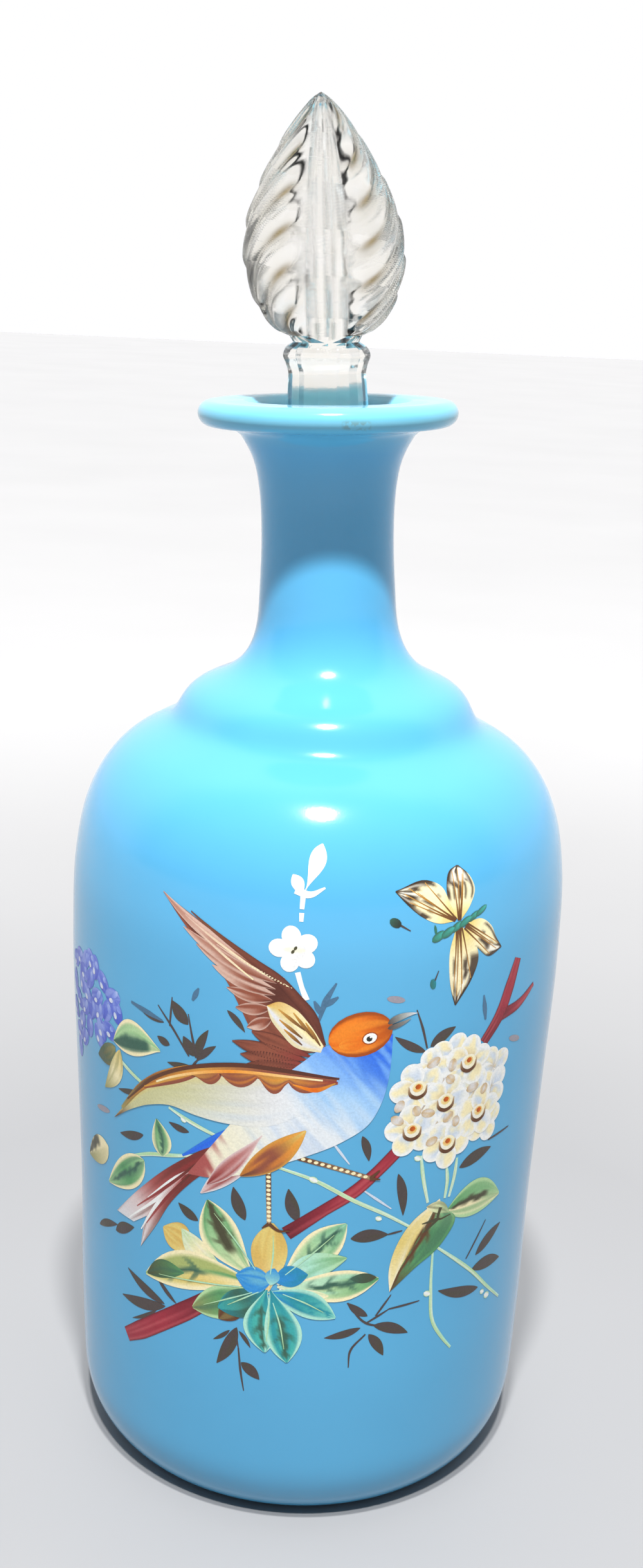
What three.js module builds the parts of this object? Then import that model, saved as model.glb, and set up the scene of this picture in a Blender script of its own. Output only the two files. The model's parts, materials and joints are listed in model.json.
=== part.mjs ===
// Dresser bottle of opaque blue opaline glass with a clear glass stopper that lifts off.
// Millimetres, +Z up. The foot stands on z = 0 with its centre at the origin; -Y is the front.
import * as THREE from 'three';

// Foot and heel
const footRadius = 35.4;
const footRingWidth = 3.9;
const kickUp = 1.2;
const kickShare = 0.6;
const heelRadius = 42.6;
const heelHeight = 13;

// Body, shoulder and the domed collar above it
const bellyRadius = 45.05;
const bellyHeight = 100;
const creaseRadius = 27.2;
const shoulderRise = 39.2;
const collarRadius = 16.1;
const collarRise = 9.8;

// Neck and flat rounded lip
const neckRadius = 11.56;
const neckRise = 25;
const flareRadius = 15;
const flareRise = 15.2;
const lipRadius = 22.3;
const lipThickness = 4.2;
const lipDrop = 5.8;

// Glass thickness, mouth and the tapered seat of the stopper
const wall = 3.7;
const floorThickness = 6.5;
const innerHeel = 9;
const neckWall = 3.66;
const mouthRadius = 14.6;
const funnelDepth = 9;
const seatLength = 21;
const seatTaper = 0.028;

// The blown neck leans a little to the left above the shoulder.
const neckLean = THREE.MathUtils.degToRad(2.26);
const bendDrop = 1.2;
const bendLength = 16;

// Stopper: tapered plug, twelve-sided shank with a collar, and the leaf
const plugGap = 0.35;
const plugChamfer = 0.9;
const plugShort = 1;
const shankSides = 12;
const shankInset = 1.55;
const shankFlare = 0.55;
const shankRise = 4.6;
const ringOut = 0.8;
const ringHeight = 4;
const waistIn = 1;
const waistHeight = 2;
const leafHeight = 38.2;
const leafWidth = 27.4;
const leafThickness = 17;

// Swirled lobes of the leaf and the roof-shaped midrib on its front and back
const lobePitch = 6.3;
const lobeClimb = 15.6;
const lobeDepth = 0.9;
const lobeRoundness = 1.8;
const lobeSweep = 0.4;
const ribWidth = 6.3;
const ribReach = 9.3;
const ribSlope = 0.28;
const ribFoot = 0.3;
const mostFootShare = 0.92;
const lobeFadeSize = 0.73;
const mostRibShare = 0.8;
const leastRibRise = 0.1;
const tipRise = 0.2;

// The leaf leans and turns a little on its shank.
const leafLean = THREE.MathUtils.degToRad(1.4);
const leafTurn = THREE.MathUtils.degToRad(3);

// Fineness of the faceted surfaces
const turnSegments = 40;
const leafRows = 38;
const sideSteps = 19;

// Shapes of the turned runs: [share of the way across, share of the way up]
const sideShape = [[0.22, 0.2], [0.29, 0.4], [0.68, 0.71]];
const shoulderShape = [[0.031, 0.383], [0.132, 0.612], [0.291, 0.765], [0.521, 0.88], [0.798, 0.954]];
const collarShape = [[0.063, 0.204], [0.189, 0.48], [0.387, 0.653], [0.685, 0.796]];
const neckShape = [[0.507, 0.12], [0.793, 0.28], [0.903, 0.52]];
const flareShape = [[0.084, 0.395], [0.448, 0.79]];
const funnelShape = [[0.082, 0.211], [0.279, 0.433], [0.574, 0.7], [0.787, 0.9]];

// Shapes of the leaf: [share of its height, share of the size]
const leafShape = [
  [0, 0.453], [0.026, 0.62], [0.079, 0.766], [0.181, 0.912], [0.332, 1], [0.458, 0.964],
  [0.623, 0.796], [0.78, 0.555], [0.893, 0.336], [0.969, 0.146], [1, 0.036],
];
const ribReachShape = [
  [-0.157, 0.698], [-0.018, 0.802], [0.089, 0.885], [0.246, 0.979], [0.377, 1],
  [0.586, 0.885], [0.796, 0.615], [0.927, 0.333], [1, 0.052],
];
const ribWidthShape = [
  [-0.157, 0.56], [-0.018, 0.984], [0.168, 1], [0.482, 0.889], [0.691, 0.698], [0.893, 0.413], [1, 0.095],
];

// Heights that follow from the sizes above
const creaseHeight = bellyHeight + shoulderRise;
const collarHeight = creaseHeight + collarRise;
const neckHeight = collarHeight + neckRise;
const flareHeight = neckHeight + flareRise;
const mouthHeight = flareHeight + lipDrop;
const seatTop = mouthHeight - funnelDepth;
const seatBottom = seatTop - seatLength;
const bendStart = creaseHeight - bendDrop;

// Shares of the wall by which the inside lies nearer the axis and lower at two places of the outside
const collarInset = { across: 0.66, down: 0.75 };
const creaseInset = { across: 0.6, down: 0.9 };

const boreRadius = neckRadius - neckWall;
const boreAt = (height) => boreRadius + seatTaper * (height - seatBottom);

const at = (radius, height) => new THREE.Vector2(radius, height);

// Points of a smooth run between two places, without the first one.
function run(from, to, shape, count) {
  const between = shape.map(([across, up]) => (
    at(from.x + (to.x - from.x) * across, from.y + (to.y - from.y) * up)
  ));
  return new THREE.SplineCurve([from, ...between, to]).getSpacedPoints(count).slice(1);
}

// Quarter of an ellipse from a level foot or floor out and up to the wall.
function heelRun(from, to, count) {
  return Array.from({ length: count }, (_, i) => {
    const turn = ((i + 1) / count) * Math.PI / 2;
    return at(from.x + (to.x - from.x) * Math.sin(turn), from.y + (to.y - from.y) * (1 - Math.cos(turn)));
  });
}

// Rounded outer edge of the lip, from its underside over to its top.
function lipRun(count) {
  const edge = lipThickness / 2;
  return Array.from({ length: count + 1 }, (_, i) => {
    const turn = (i / count - 0.5) * Math.PI;
    return at(lipRadius - edge + edge * Math.cos(turn), mouthHeight - edge + edge * Math.sin(turn));
  });
}

function outerProfile() {
  const ringStart = footRadius - footRingWidth;
  const heel = at(heelRadius, heelHeight);
  const belly = at(bellyRadius, bellyHeight);
  const crease = at(creaseRadius, creaseHeight);
  const collar = at(collarRadius, collarHeight);
  const neck = at(neckRadius, neckHeight);
  return [
    at(0, kickUp),
    at(ringStart * kickShare, kickUp * kickShare),
    at(ringStart, 0),
    at(footRadius, 0),
    ...heelRun(at(footRadius, 0), heel, 4),
    ...run(heel, belly, sideShape, 4),
    ...run(belly, crease, shoulderShape, 8),
    ...run(crease, collar, collarShape, 5),
    ...run(collar, neck, neckShape, 5),
    ...run(neck, at(flareRadius, flareHeight), flareShape, 3),
    ...lipRun(5),
  ];
}

// From the mouth down the seat and the inside of the wall to the floor.
function innerProfile() {
  const seatTopEdge = at(boreAt(seatTop), seatTop);
  const seatBottomEdge = at(boreRadius, seatBottom);
  const collar = at(collarRadius - collarInset.across * wall, collarHeight - collarInset.down * wall);
  const crease = at(creaseRadius - creaseInset.across * wall, creaseHeight - creaseInset.down * wall);
  const belly = at(bellyRadius - wall, bellyHeight);
  const side = at(heelRadius - wall, Math.max(heelHeight, floorThickness + innerHeel));
  const floorEdge = at(side.x - innerHeel, floorThickness);
  const upwards = [
    at(0, floorThickness),
    floorEdge,
    ...heelRun(floorEdge, side, 4),
    ...run(side, belly, sideShape, 3),
    ...run(belly, crease, shoulderShape, 6),
    ...run(crease, collar, collarShape, 3),
    ...run(collar, seatBottomEdge, neckShape, 4),
    seatTopEdge,
    ...run(seatTopEdge, at(mouthRadius, mouthHeight), funnelShape, 5),
  ];
  return upwards.reverse();
}

// Bends everything above bendStart over to the left, with level rings turning square to the axis.
function bendNeck(geometry) {
  const place = geometry.attributes.position;
  const bendRadius = bendLength / neckLean;
  for (let i = 0; i < place.count; i += 1) {
    const x = place.getX(i);
    const above = Math.max(place.getZ(i) - bendStart, 0);
    const angle = neckLean * Math.min(above / bendLength, 1);
    const straight = Math.max(above - bendLength, 0);
    const axisX = -bendRadius * (1 - Math.cos(angle)) - Math.sin(angle) * straight;
    const axisZ = bendRadius * Math.sin(angle) + Math.cos(angle) * straight;
    place.setX(i, axisX + x * Math.cos(angle));
    place.setZ(i, Math.min(place.getZ(i), bendStart) + axisZ + x * Math.sin(angle));
  }
  geometry.computeVertexNormals();
}

// Smooth value at a share of the leaf's height, without overshoot between the shape's points.
function shapeAt(shape, share) {
  const last = shape.length - 1;
  const clamped = Math.min(Math.max(share, shape[0][0]), shape[last][0]);
  let i = 0;
  while (i < last - 1 && shape[i + 1][0] < clamped) i += 1;
  const rate = (k) => (shape[k + 1][1] - shape[k][1]) / (shape[k + 1][0] - shape[k][0]);
  const slope = (k) => {
    if (k === 0) return rate(0);
    if (k === last) return rate(last - 1);
    const before = rate(k - 1);
    const after = rate(k);
    return before * after <= 0 ? 0 : (2 * before * after) / (before + after);
  };
  const span = shape[i + 1][0] - shape[i][0];
  const t = (clamped - shape[i][0]) / span;
  const blend = t * t * (3 - 2 * t);
  const bulge = t * (1 - t) * span * (slope(i) * (1 - t) - slope(i + 1) * t);
  return shape[i][1] * (1 - blend) + shape[i + 1][1] * blend + bulge;
}

// A ring of the stopper holds [across, towards the front] for each direction, front first.
const ringCount = 2 * (sideSteps + 5);

function evenRing(radiusAt) {
  return Array.from({ length: ringCount }, (_, i) => {
    const turn = (i / ringCount) * 2 * Math.PI;
    return [radiusAt(turn) * Math.sin(turn), radiusAt(turn) * Math.cos(turn)];
  });
}

function sidedRadius(flatRadius) {
  const facet = (2 * Math.PI) / shankSides;
  return (turn) => flatRadius / Math.cos(((turn + facet / 2) % facet) - facet / 2);
}

// How far the groove between two swirled lobes lies under the leaf's full outline.
// The lobes run flat beside the midrib and climb steeply to the edges, alike on front and back.
function lobeSink(turn, height) {
  const aside = Math.asin(Math.sin(turn));
  const climb = (lobeClimb * (aside - lobeSweep * Math.sin(2 * aside))) / (Math.PI / 2);
  const phase = (height - climb) / lobePitch;
  const across = Math.abs(2 * (phase - Math.floor(phase)) - 1);
  return lobeDepth * across ** lobeRoundness;
}

function leafRing(height) {
  const share = height / leafHeight;
  const size = shapeAt(leafShape, share);
  const wide = (leafWidth / 2) * size;
  const deep = (leafThickness / 2) * size;
  const ribHalf = Math.min((ribWidth / 2) * shapeAt(ribWidthShape, share), wide * mostRibShare);
  const ridge = Math.max(ribReach * shapeAt(ribReachShape, share), deep + leastRibRise);
  const edge = Math.max(ridge - ribSlope * ribHalf, deep - leastRibRise);
  const footTurn = Math.asin(Math.min((ribHalf + ribFoot) / wide, mostFootShare));
  const fade = Math.min(size / lobeFadeSize, 1);
  const half = (side) => {
    const points = [[side * ribHalf, edge]];
    for (let i = 0; i <= sideSteps + 1; i += 1) {
      const turn = side * (footTurn + ((Math.PI - 2 * footTurn) * i) / (sideSteps + 1));
      const sink = lobeSink(turn, height) * fade;
      points.push([(wide - sink) * Math.sin(turn), (deep - sink) * Math.cos(turn)]);
    }
    return [...points, [side * ribHalf, -edge]];
  };
  return [[0, ridge], ...half(1), [0, -ridge], ...half(-1).reverse()];
}

// The midrib runs on below the leaf and dies out on the shank.
function ribbedRing(height, flatRadius) {
  const share = height / leafHeight;
  const ribHalf = (ribWidth / 2) * shapeAt(ribWidthShape, share);
  const ridge = ribReach * shapeAt(ribReachShape, share);
  const base = sidedRadius(flatRadius);
  return evenRing((turn) => {
    const across = Math.abs(Math.sin(turn));
    const roof = ridge / (Math.abs(Math.cos(turn)) + ribSlope * across);
    return Math.max(base(turn), Math.min(roof, ribHalf / Math.max(across, 1e-6)));
  });
}

// Rings of the stopper from the plug up, at heights in the unbent bottle.
function stopperRows() {
  const plugBottom = seatBottom + plugShort;
  const plugTop = seatTop - plugShort / 2;
  const plugRadius = (height) => boreAt(height) - plugGap;
  const shank = plugRadius(plugTop) - shankInset;
  const ringStart = mouthHeight + shankRise;
  const waist = ringStart + ringHeight + waistHeight / 2;
  const leafStart = ringStart + ringHeight + waistHeight;
  const round = (height, radius) => ({ height, ring: evenRing(() => radius) });
  const sided = (height, radius) => ({ height, ring: evenRing(sidedRadius(radius)) });
  const ribbed = (height, radius) => ({ height, ring: ribbedRing(height - leafStart, radius) });
  const rows = [
    round(plugBottom, plugRadius(plugBottom) - plugChamfer),
    round(plugBottom + plugChamfer, plugRadius(plugBottom + plugChamfer)),
    round(plugTop, plugRadius(plugTop)),
    sided(seatTop + funnelDepth / 3, shank + shankFlare),
    sided(mouthHeight, shank + shankFlare / 2),
    ribbed(ringStart, shank),
    ribbed(ringStart + ringHeight * 0.4, shank + ringOut / 2),
    ribbed(ringStart + ringHeight * 0.7, shank + ringOut),
    ribbed(ringStart + ringHeight, shank + ringOut / 2),
    ribbed(waist, shank - waistIn),
  ];
  for (let i = 0; i <= leafRows; i += 1) {
    const height = leafHeight * (i / leafRows) ** 1.08;
    rows.push({ height: leafStart + height, ring: leafRing(height) });
  }
  return rows;
}

// Closed surface through the rows, with a flat bottom and a pointed top.
function loft(rows) {
  const vertices = [];
  const faces = [];
  const lean = (height) => -Math.tan(leafLean) * Math.max(height - seatTop - funnelDepth / 3, 0);
  for (const { height, ring } of rows) {
    for (const [across, ahead] of ring) {
      const x = across * Math.cos(leafTurn) + ahead * Math.sin(leafTurn);
      const y = across * Math.sin(leafTurn) - ahead * Math.cos(leafTurn);
      vertices.push(x + lean(height), y, height);
    }
  }
  const bottom = rows.length * ringCount;
  const low = rows[0].height;
  const high = rows.at(-1).height + tipRise;
  vertices.push(0, 0, low, lean(high), 0, high);
  for (let i = 0; i < ringCount; i += 1) {
    const next = (i + 1) % ringCount;
    faces.push(bottom, next, i);
    for (let row = 0; row + 1 < rows.length; row += 1) {
      const under = row * ringCount;
      const over = under + ringCount;
      faces.push(under + i, under + next, over + next, under + i, over + next, over + i);
    }
    const last = (rows.length - 1) * ringCount;
    faces.push(last + i, last + next, bottom + 1);
  }
  const geometry = new THREE.BufferGeometry();
  geometry.setAttribute('position', new THREE.Float32BufferAttribute(vertices, 3));
  geometry.setIndex(faces);
  geometry.computeVertexNormals();
  return geometry;
}

const opaline = new THREE.MeshStandardMaterial({ color: 0x3fa9cf, roughness: 0.12, metalness: 0 });
const clearGlass = new THREE.MeshStandardMaterial({
  color: 0xf1f3ee, roughness: 0.04, metalness: 0, transparent: true, opacity: 0.35,
});

// The turned profile stands up from the lathe's Y axis to +Z before the neck is bent.
const bottleGeometry = new THREE.LatheGeometry([...outerProfile(), ...innerProfile()], turnSegments);
bottleGeometry.rotateX(Math.PI / 2);
bendNeck(bottleGeometry);
const bottle = new THREE.Mesh(bottleGeometry, opaline);
bottle.name = 'bottle';

// The stopper stands square in the seat, so it turns with the neck about the end of the bend.
const bendRadius = bendLength / neckLean;
const bendEnd = bendStart + bendLength;
const stopperGeometry = loft(stopperRows());
stopperGeometry.translate(0, 0, -bendEnd);
const stopper = new THREE.Mesh(stopperGeometry, clearGlass);
stopper.name = 'stopper';
stopper.position.set(
  -bendRadius * (1 - Math.cos(neckLean)),
  0,
  bendStart + bendRadius * Math.sin(neckLean),
);
stopper.rotation.y = -neckLean;

const dresserBottle = new THREE.Group();
dresserBottle.add(bottle, stopper);

export default dresserBottle;
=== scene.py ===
import json
import math

import bpy
from mathutils import Matrix, Vector, noise

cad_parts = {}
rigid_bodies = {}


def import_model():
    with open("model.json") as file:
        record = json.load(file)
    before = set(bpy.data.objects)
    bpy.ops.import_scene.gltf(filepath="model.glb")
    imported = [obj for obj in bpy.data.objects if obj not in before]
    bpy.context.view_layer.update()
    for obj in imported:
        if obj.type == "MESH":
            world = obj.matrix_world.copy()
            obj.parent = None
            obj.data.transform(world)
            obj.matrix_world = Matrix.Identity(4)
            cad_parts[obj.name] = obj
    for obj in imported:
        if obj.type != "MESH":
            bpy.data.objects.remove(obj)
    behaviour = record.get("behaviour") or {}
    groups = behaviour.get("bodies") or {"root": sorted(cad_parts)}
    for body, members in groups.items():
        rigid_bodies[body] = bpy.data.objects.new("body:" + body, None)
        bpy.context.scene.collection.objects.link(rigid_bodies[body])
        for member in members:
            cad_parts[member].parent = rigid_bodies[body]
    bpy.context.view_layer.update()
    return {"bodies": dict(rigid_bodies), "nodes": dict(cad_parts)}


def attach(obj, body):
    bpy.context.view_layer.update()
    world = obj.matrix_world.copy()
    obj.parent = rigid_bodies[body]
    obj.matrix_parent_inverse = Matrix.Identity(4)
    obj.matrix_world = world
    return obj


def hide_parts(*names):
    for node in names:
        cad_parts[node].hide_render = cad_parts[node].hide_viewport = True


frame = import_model()

# Opaline glass dresser bottle with a clear glass stopper.
# Shapes are in millimetres, as in the part's source. Blender, the looks and the stage are in metres.
millimetre = 0.001

kept = [*frame["bodies"].values(), *frame["nodes"].values()]
for other in list(bpy.data.objects):
    if other not in kept:
        bpy.data.objects.remove(other, do_unlink=True)


# Small helpers for curves and meshes.
def mix(a, b, share):
    return a + (b - a) * share


def ease(value, low, high):
    share = min(max((value - low) / (high - low), 0), 1)
    return share * share * (3 - 2 * share)


def curveThrough(points, steps):
    # points of a smooth curve through the given ones, steps to each gap
    path = [Vector(point) for point in points]
    gaps = [max((b - a).length, 1e-6) for a, b in zip(path, path[1:])]
    slopes = [(b - a) / gap for a, b, gap in zip(path, path[1:], gaps)]
    tangents = [slopes[0]]
    for before, after, gapBefore, gapAfter in zip(slopes, slopes[1:], gaps, gaps[1:]):
        tangents.append((before * gapAfter + after * gapBefore) / (gapBefore + gapAfter))
    tangents.append(slopes[-1])
    curve = [path[0]]
    for i, gap in enumerate(gaps):
        for step in range(1, steps + 1):
            t = step / steps
            curve.append(
                path[i] * (2 * t ** 3 - 3 * t ** 2 + 1)
                + tangents[i] * gap * (t ** 3 - 2 * t ** 2 + t)
                + path[i + 1] * (3 * t ** 2 - 2 * t ** 3)
                + tangents[i + 1] * gap * (t ** 3 - t ** 2)
            )
    return curve


def spaced(curve, count):
    # the same curve with count + 1 points at even distances
    lengths = [0.0]
    for a, b in zip(curve, curve[1:]):
        lengths.append(lengths[-1] + (b - a).length)
    result = []
    i = 0
    for k in range(count + 1):
        target = lengths[-1] * k / count
        while i < len(curve) - 2 and lengths[i + 1] < target:
            i += 1
        gap = max(lengths[i + 1] - lengths[i], 1e-9)
        result.append(curve[i].lerp(curve[i + 1], min(max((target - lengths[i]) / gap, 0), 1)))
    return result


def newPiece(name, vertices, faces, material, sharpAngle=None):
    mesh = bpy.data.meshes.new(name)
    mesh.from_pydata([Vector(v) * millimetre for v in vertices], [], faces)
    mesh.polygons.foreach_set("use_smooth", [True] * len(mesh.polygons))
    if sharpAngle is not None:
        mesh.set_sharp_from_angle(angle=math.radians(sharpAngle))
    mesh.materials.append(material)
    mesh.update()
    piece = bpy.data.objects.new(name, mesh)
    bpy.context.scene.collection.objects.link(piece)
    return piece


# Nodes and materials that the pieces share.
surfaceValues = dict(
    cloudSize=40.0, grainSize=900.0, grainShare=0.5,
    cloudDetail=3.0, cloudRoughness=0.5, grainDetail=2.0, grainRoughness=0.6,
    noiseReach=(0.3, 0.7),  # where the values of a noise mostly lie
)


def addNode(tree, kind, **values):
    node = tree.nodes.new(kind)
    for key, value in values.items():
        setattr(node, key, value)
    return node


def newMaterial(name):
    material = bpy.data.materials.new(name)
    material.use_nodes = True
    tree = material.node_tree
    return material, tree, tree.nodes["Principled BSDF"]


def setInputs(node, **values):
    for key, value in values.items():
        node.inputs[key.replace("_", " ")].default_value = value


def makeGlassSurface():
    # broad clouding and a fine grain that the glass and the enamel share
    group = bpy.data.node_groups.new("glassSurface", "ShaderNodeTree")
    v = surfaceValues
    sizes = {"Cloud Size": v["cloudSize"], "Grain Size": v["grainSize"], "Grain Share": v["grainShare"]}
    for name, value in sizes.items():
        socket = group.interface.new_socket(name, in_out="INPUT", socket_type="NodeSocketFloat")
        socket.default_value = value
    for name in ("Cloud", "Grain", "Height"):
        group.interface.new_socket(name, in_out="OUTPUT", socket_type="NodeSocketFloat")
    start = addNode(group, "NodeGroupInput")
    end = addNode(group, "NodeGroupOutput")
    place = addNode(group, "ShaderNodeTexCoord")
    cloud = addNode(group, "ShaderNodeTexNoise")
    grain = addNode(group, "ShaderNodeTexNoise")
    setInputs(cloud, Detail=v["cloudDetail"], Roughness=v["cloudRoughness"])
    setInputs(grain, Detail=v["grainDetail"], Roughness=v["grainRoughness"])
    height = addNode(group, "ShaderNodeMix", data_type="FLOAT")
    for texture, size in ((cloud, "Cloud Size"), (grain, "Grain Size")):
        group.links.new(place.outputs["Object"], texture.inputs["Vector"])
        group.links.new(start.outputs[size], texture.inputs["Scale"])
    group.links.new(start.outputs["Grain Share"], height.inputs[0])
    group.links.new(cloud.outputs["Fac"], height.inputs[2])
    group.links.new(grain.outputs["Fac"], height.inputs[3])
    group.links.new(cloud.outputs["Fac"], end.inputs["Cloud"])
    group.links.new(grain.outputs["Fac"], end.inputs["Grain"])
    group.links.new(height.outputs[0], end.inputs["Height"])
    return group


glassSurface = makeGlassSurface()


def placeSurface(tree, cloudSize, grainSize, grainShare):
    node = addNode(tree, "ShaderNodeGroup", node_tree=glassSurface)
    node.inputs["Cloud Size"].default_value = cloudSize
    node.inputs["Grain Size"].default_value = grainSize
    node.inputs["Grain Share"].default_value = grainShare
    return node


def remap(tree, source, low, high, start=0.0, stop=1.0):
    node = addNode(tree, "ShaderNodeMapRange")
    for key, value in (("From Min", start), ("From Max", stop), ("To Min", low), ("To Max", high)):
        node.inputs[key].default_value = value
    tree.links.new(source, node.inputs["Value"])
    return node.outputs["Result"]


def spread(tree, source, low, high):
    # stretches a noise out between two values
    return remap(tree, source, low, high, *surfaceValues["noiseReach"])


def within(tree, source, reach, soft):
    # two shares that are both 1 between the ends of the reach
    rising = remap(tree, source, 0, 1, reach[0] - soft, reach[0])
    falling = remap(tree, source, 1, 0, reach[1], reach[1] + soft)
    return rising, falling


def blendColours(tree, share, first, second, kind="MIX"):
    node = addNode(tree, "ShaderNodeMix", data_type="RGBA", blend_type=kind)
    for socket, value in ((node.inputs[0], share), (node.inputs[6], first), (node.inputs[7], second)):
        if isinstance(value, bpy.types.NodeSocket):
            tree.links.new(value, socket)
        else:
            socket.default_value = value
    return node.outputs[2]


def addBump(tree, shader, height, strength, distance):
    bump = addNode(tree, "ShaderNodeBump")
    bump.inputs["Strength"].default_value = strength
    bump.inputs["Distance"].default_value = distance
    tree.links.new(height, bump.inputs["Height"])
    tree.links.new(bump.outputs["Normal"], shader.inputs["Normal"])


# Bottle.
bottleSizes = dict(
    footRadius=35.4, footRingWidth=3.9, kickUp=1.2, kickShare=0.6, heelRadius=42.6, heelHeight=13,
    bellyRadius=45.05, bellyHeight=100, creaseRadius=27.2, shoulderRise=39.2,
    collarRadius=16.1, collarRise=9.8, neckRadius=11.56, neckRise=25,
    flareRadius=15, flareRise=15.2, lipRadius=22.3, lipThickness=4.2, lipDrop=5.8,
    wall=3.7, floorThickness=6.5, innerHeel=9, neckWall=3.66, mouthRadius=14.6,
    funnelDepth=9, seatLength=21, seatTaper=0.028,
    neckLean=math.radians(2.26), bendDrop=1.2, bendLength=16,
    sideShape=[(0.22, 0.2), (0.29, 0.4), (0.68, 0.71)],
    shoulderShape=[(0.031, 0.383), (0.132, 0.612), (0.291, 0.765), (0.521, 0.88), (0.798, 0.954)],
    collarShape=[(0.063, 0.204), (0.189, 0.48), (0.387, 0.653), (0.685, 0.796)],
    neckShape=[(0.507, 0.12), (0.793, 0.28), (0.903, 0.52)],
    flareShape=[(0.084, 0.395), (0.448, 0.79)],
    funnelShape=[(0.082, 0.211), (0.279, 0.433), (0.574, 0.7), (0.787, 0.9)],
    innerCollar=(0.66, 0.75), innerCrease=(0.6, 0.9),  # shares of the wall, inwards and down
    paintRoom=0.16,  # the glass is this much slimmer, so that the enamel stays within the solid
    paintRoomFade=8, turnSegments=200, softening=6, sharpAngle=50,
    bodySteps=10, upperSteps=6, heelSteps=12, wallSteps=210, lipSteps=14, underLipSteps=5,
    innerSteps=3, funnelSteps=4, innerHeelSteps=6,
)
opalineLook = dict(
    # the lip colour, paler and greener, is a painted highlight for the lit, washed-out top of the lip
    glass=(0.075, 0.33, 0.56, 1), cloudy=(0.082, 0.35, 0.585, 1), lip=(0.14, 0.42, 0.56, 1),
    lipFrom=0.187, lipFull=0.193, gloss=(0.11, 0.15), cloudSize=30, grainSize=1500, grainShare=0.2,
    waviness=0.04, wavesDepth=0.0008, refraction=1.5,
    worn=(0.13, 0.22, 0.2, 1), wornAcross=(0.001, 0.0048), wornUp=(0.1921, 0.1929), wornSoft=0.0006,
    wornGrain=1400, wornDetail=3.0, wornGrainReach=(0.44, 0.54), wornMost=0.55, wornFront=-0.001,
)

b = bottleSizes
creaseHeight = b["bellyHeight"] + b["shoulderRise"]
collarHeight = creaseHeight + b["collarRise"]
neckHeight = collarHeight + b["neckRise"]
flareHeight = neckHeight + b["flareRise"]
mouthHeight = flareHeight + b["lipDrop"]
seatTop = mouthHeight - b["funnelDepth"]
seatBottom = seatTop - b["seatLength"]
bendStart = creaseHeight - b["bendDrop"]


def between(start, end, shape):
    return [(mix(start[0], end[0], across), mix(start[1], end[1], up)) for across, up in shape]


def heelPoints(start, end, count):
    turns = [math.pi / 2 * i / count for i in range(1, count + 1)]
    return [
        Vector((mix(start[0], end[0], math.sin(t)), mix(start[1], end[1], 1 - math.cos(t))))
        for t in turns
    ]


def softened(points, rounds):
    # evens out small kinks between the runs, with the ends kept
    for _ in range(rounds):
        inner = [a * 0.25 + p * 0.5 + c * 0.25 for a, p, c in zip(points, points[1:], points[2:])]
        points = [points[0], *inner, points[-1]]
    return points


def boreAt(height):
    return b["neckRadius"] - b["neckWall"] + b["seatTaper"] * (height - seatBottom)


def outerProfile():
    ringStart = b["footRadius"] - b["footRingWidth"]
    heel = (b["heelRadius"], b["heelHeight"])
    belly = (b["bellyRadius"], b["bellyHeight"])
    crease = (b["creaseRadius"], creaseHeight)
    collar = (b["collarRadius"], collarHeight)
    neck = (b["neckRadius"], neckHeight)
    flare = (b["flareRadius"], flareHeight)
    body = curveThrough(
        [heel, *between(heel, belly, b["sideShape"]), belly,
         *between(belly, crease, b["shoulderShape"]), crease], b["bodySteps"])
    upper = curveThrough(
        [crease, *between(crease, collar, b["collarShape"]), collar,
         *between(collar, neck, b["neckShape"]), neck, *between(neck, flare, b["flareShape"]),
         flare], b["upperSteps"])
    heelRun = heelPoints((b["footRadius"], 0), heel, b["heelSteps"])
    wallRun = spaced([*heelRun, *body[1:], *upper[1:]], b["wallSteps"])
    wallRun = [Vector((min(p.x, b["bellyRadius"]), p.y)) for p in softened(wallRun, b["softening"])]
    edge = b["lipThickness"] / 2
    lipTurns = [math.pi * (i / b["lipSteps"] - 0.5) for i in range(b["lipSteps"] + 1)]
    lip = [
        Vector((b["lipRadius"] - edge + edge * math.cos(t), mouthHeight - edge + edge * math.sin(t)))
        for t in lipTurns
    ]
    steps = b["underLipSteps"]
    underLip = curveThrough([wallRun[-2], wallRun[-1], lip[0], lip[1]], steps)[steps + 1:-steps - 1]
    foot = [
        Vector((0, b["kickUp"])),
        Vector((ringStart * b["kickShare"], b["kickUp"] * b["kickShare"])),
        Vector((ringStart, 0)),
        Vector((b["footRadius"], 0)),
    ]
    fadeStart = bendStart - b["paintRoomFade"]
    slim = [
        Vector((p.x - b["paintRoom"] * (1 - ease(p.y, fadeStart, bendStart)), p.y))
        for p in [*wallRun, *underLip, *lip]
    ]
    return foot, slim


def innerProfile():
    wall = b["wall"]
    seatTopEdge = (boreAt(seatTop), seatTop)
    seatBottomEdge = (boreAt(seatBottom), seatBottom)
    inwards, down = b["innerCollar"]
    collar = (b["collarRadius"] - inwards * wall, collarHeight - down * wall)
    inwards, down = b["innerCrease"]
    crease = (b["creaseRadius"] - inwards * wall, creaseHeight - down * wall)
    belly = (b["bellyRadius"] - wall, b["bellyHeight"])
    side = (b["heelRadius"] - wall, max(b["heelHeight"], b["floorThickness"] + b["innerHeel"]))
    floorEdge = (side[0] - b["innerHeel"], b["floorThickness"])
    mouth = (b["mouthRadius"], mouthHeight)
    body = curveThrough(
        [side, *between(side, belly, b["sideShape"]), belly,
         *between(belly, crease, b["shoulderShape"]), crease,
         *between(crease, collar, b["collarShape"]), collar,
         *between(collar, seatBottomEdge, b["neckShape"]), seatBottomEdge], b["innerSteps"])
    funnel = curveThrough(
        [seatTopEdge, *between(seatTopEdge, mouth, b["funnelShape"]), mouth], b["funnelSteps"])
    upwards = [Vector((0, b["floorThickness"])), Vector(floorEdge),
               *heelPoints(floorEdge, side, b["innerHeelSteps"]), *body[1:], *funnel]
    return upwards[::-1]


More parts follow.
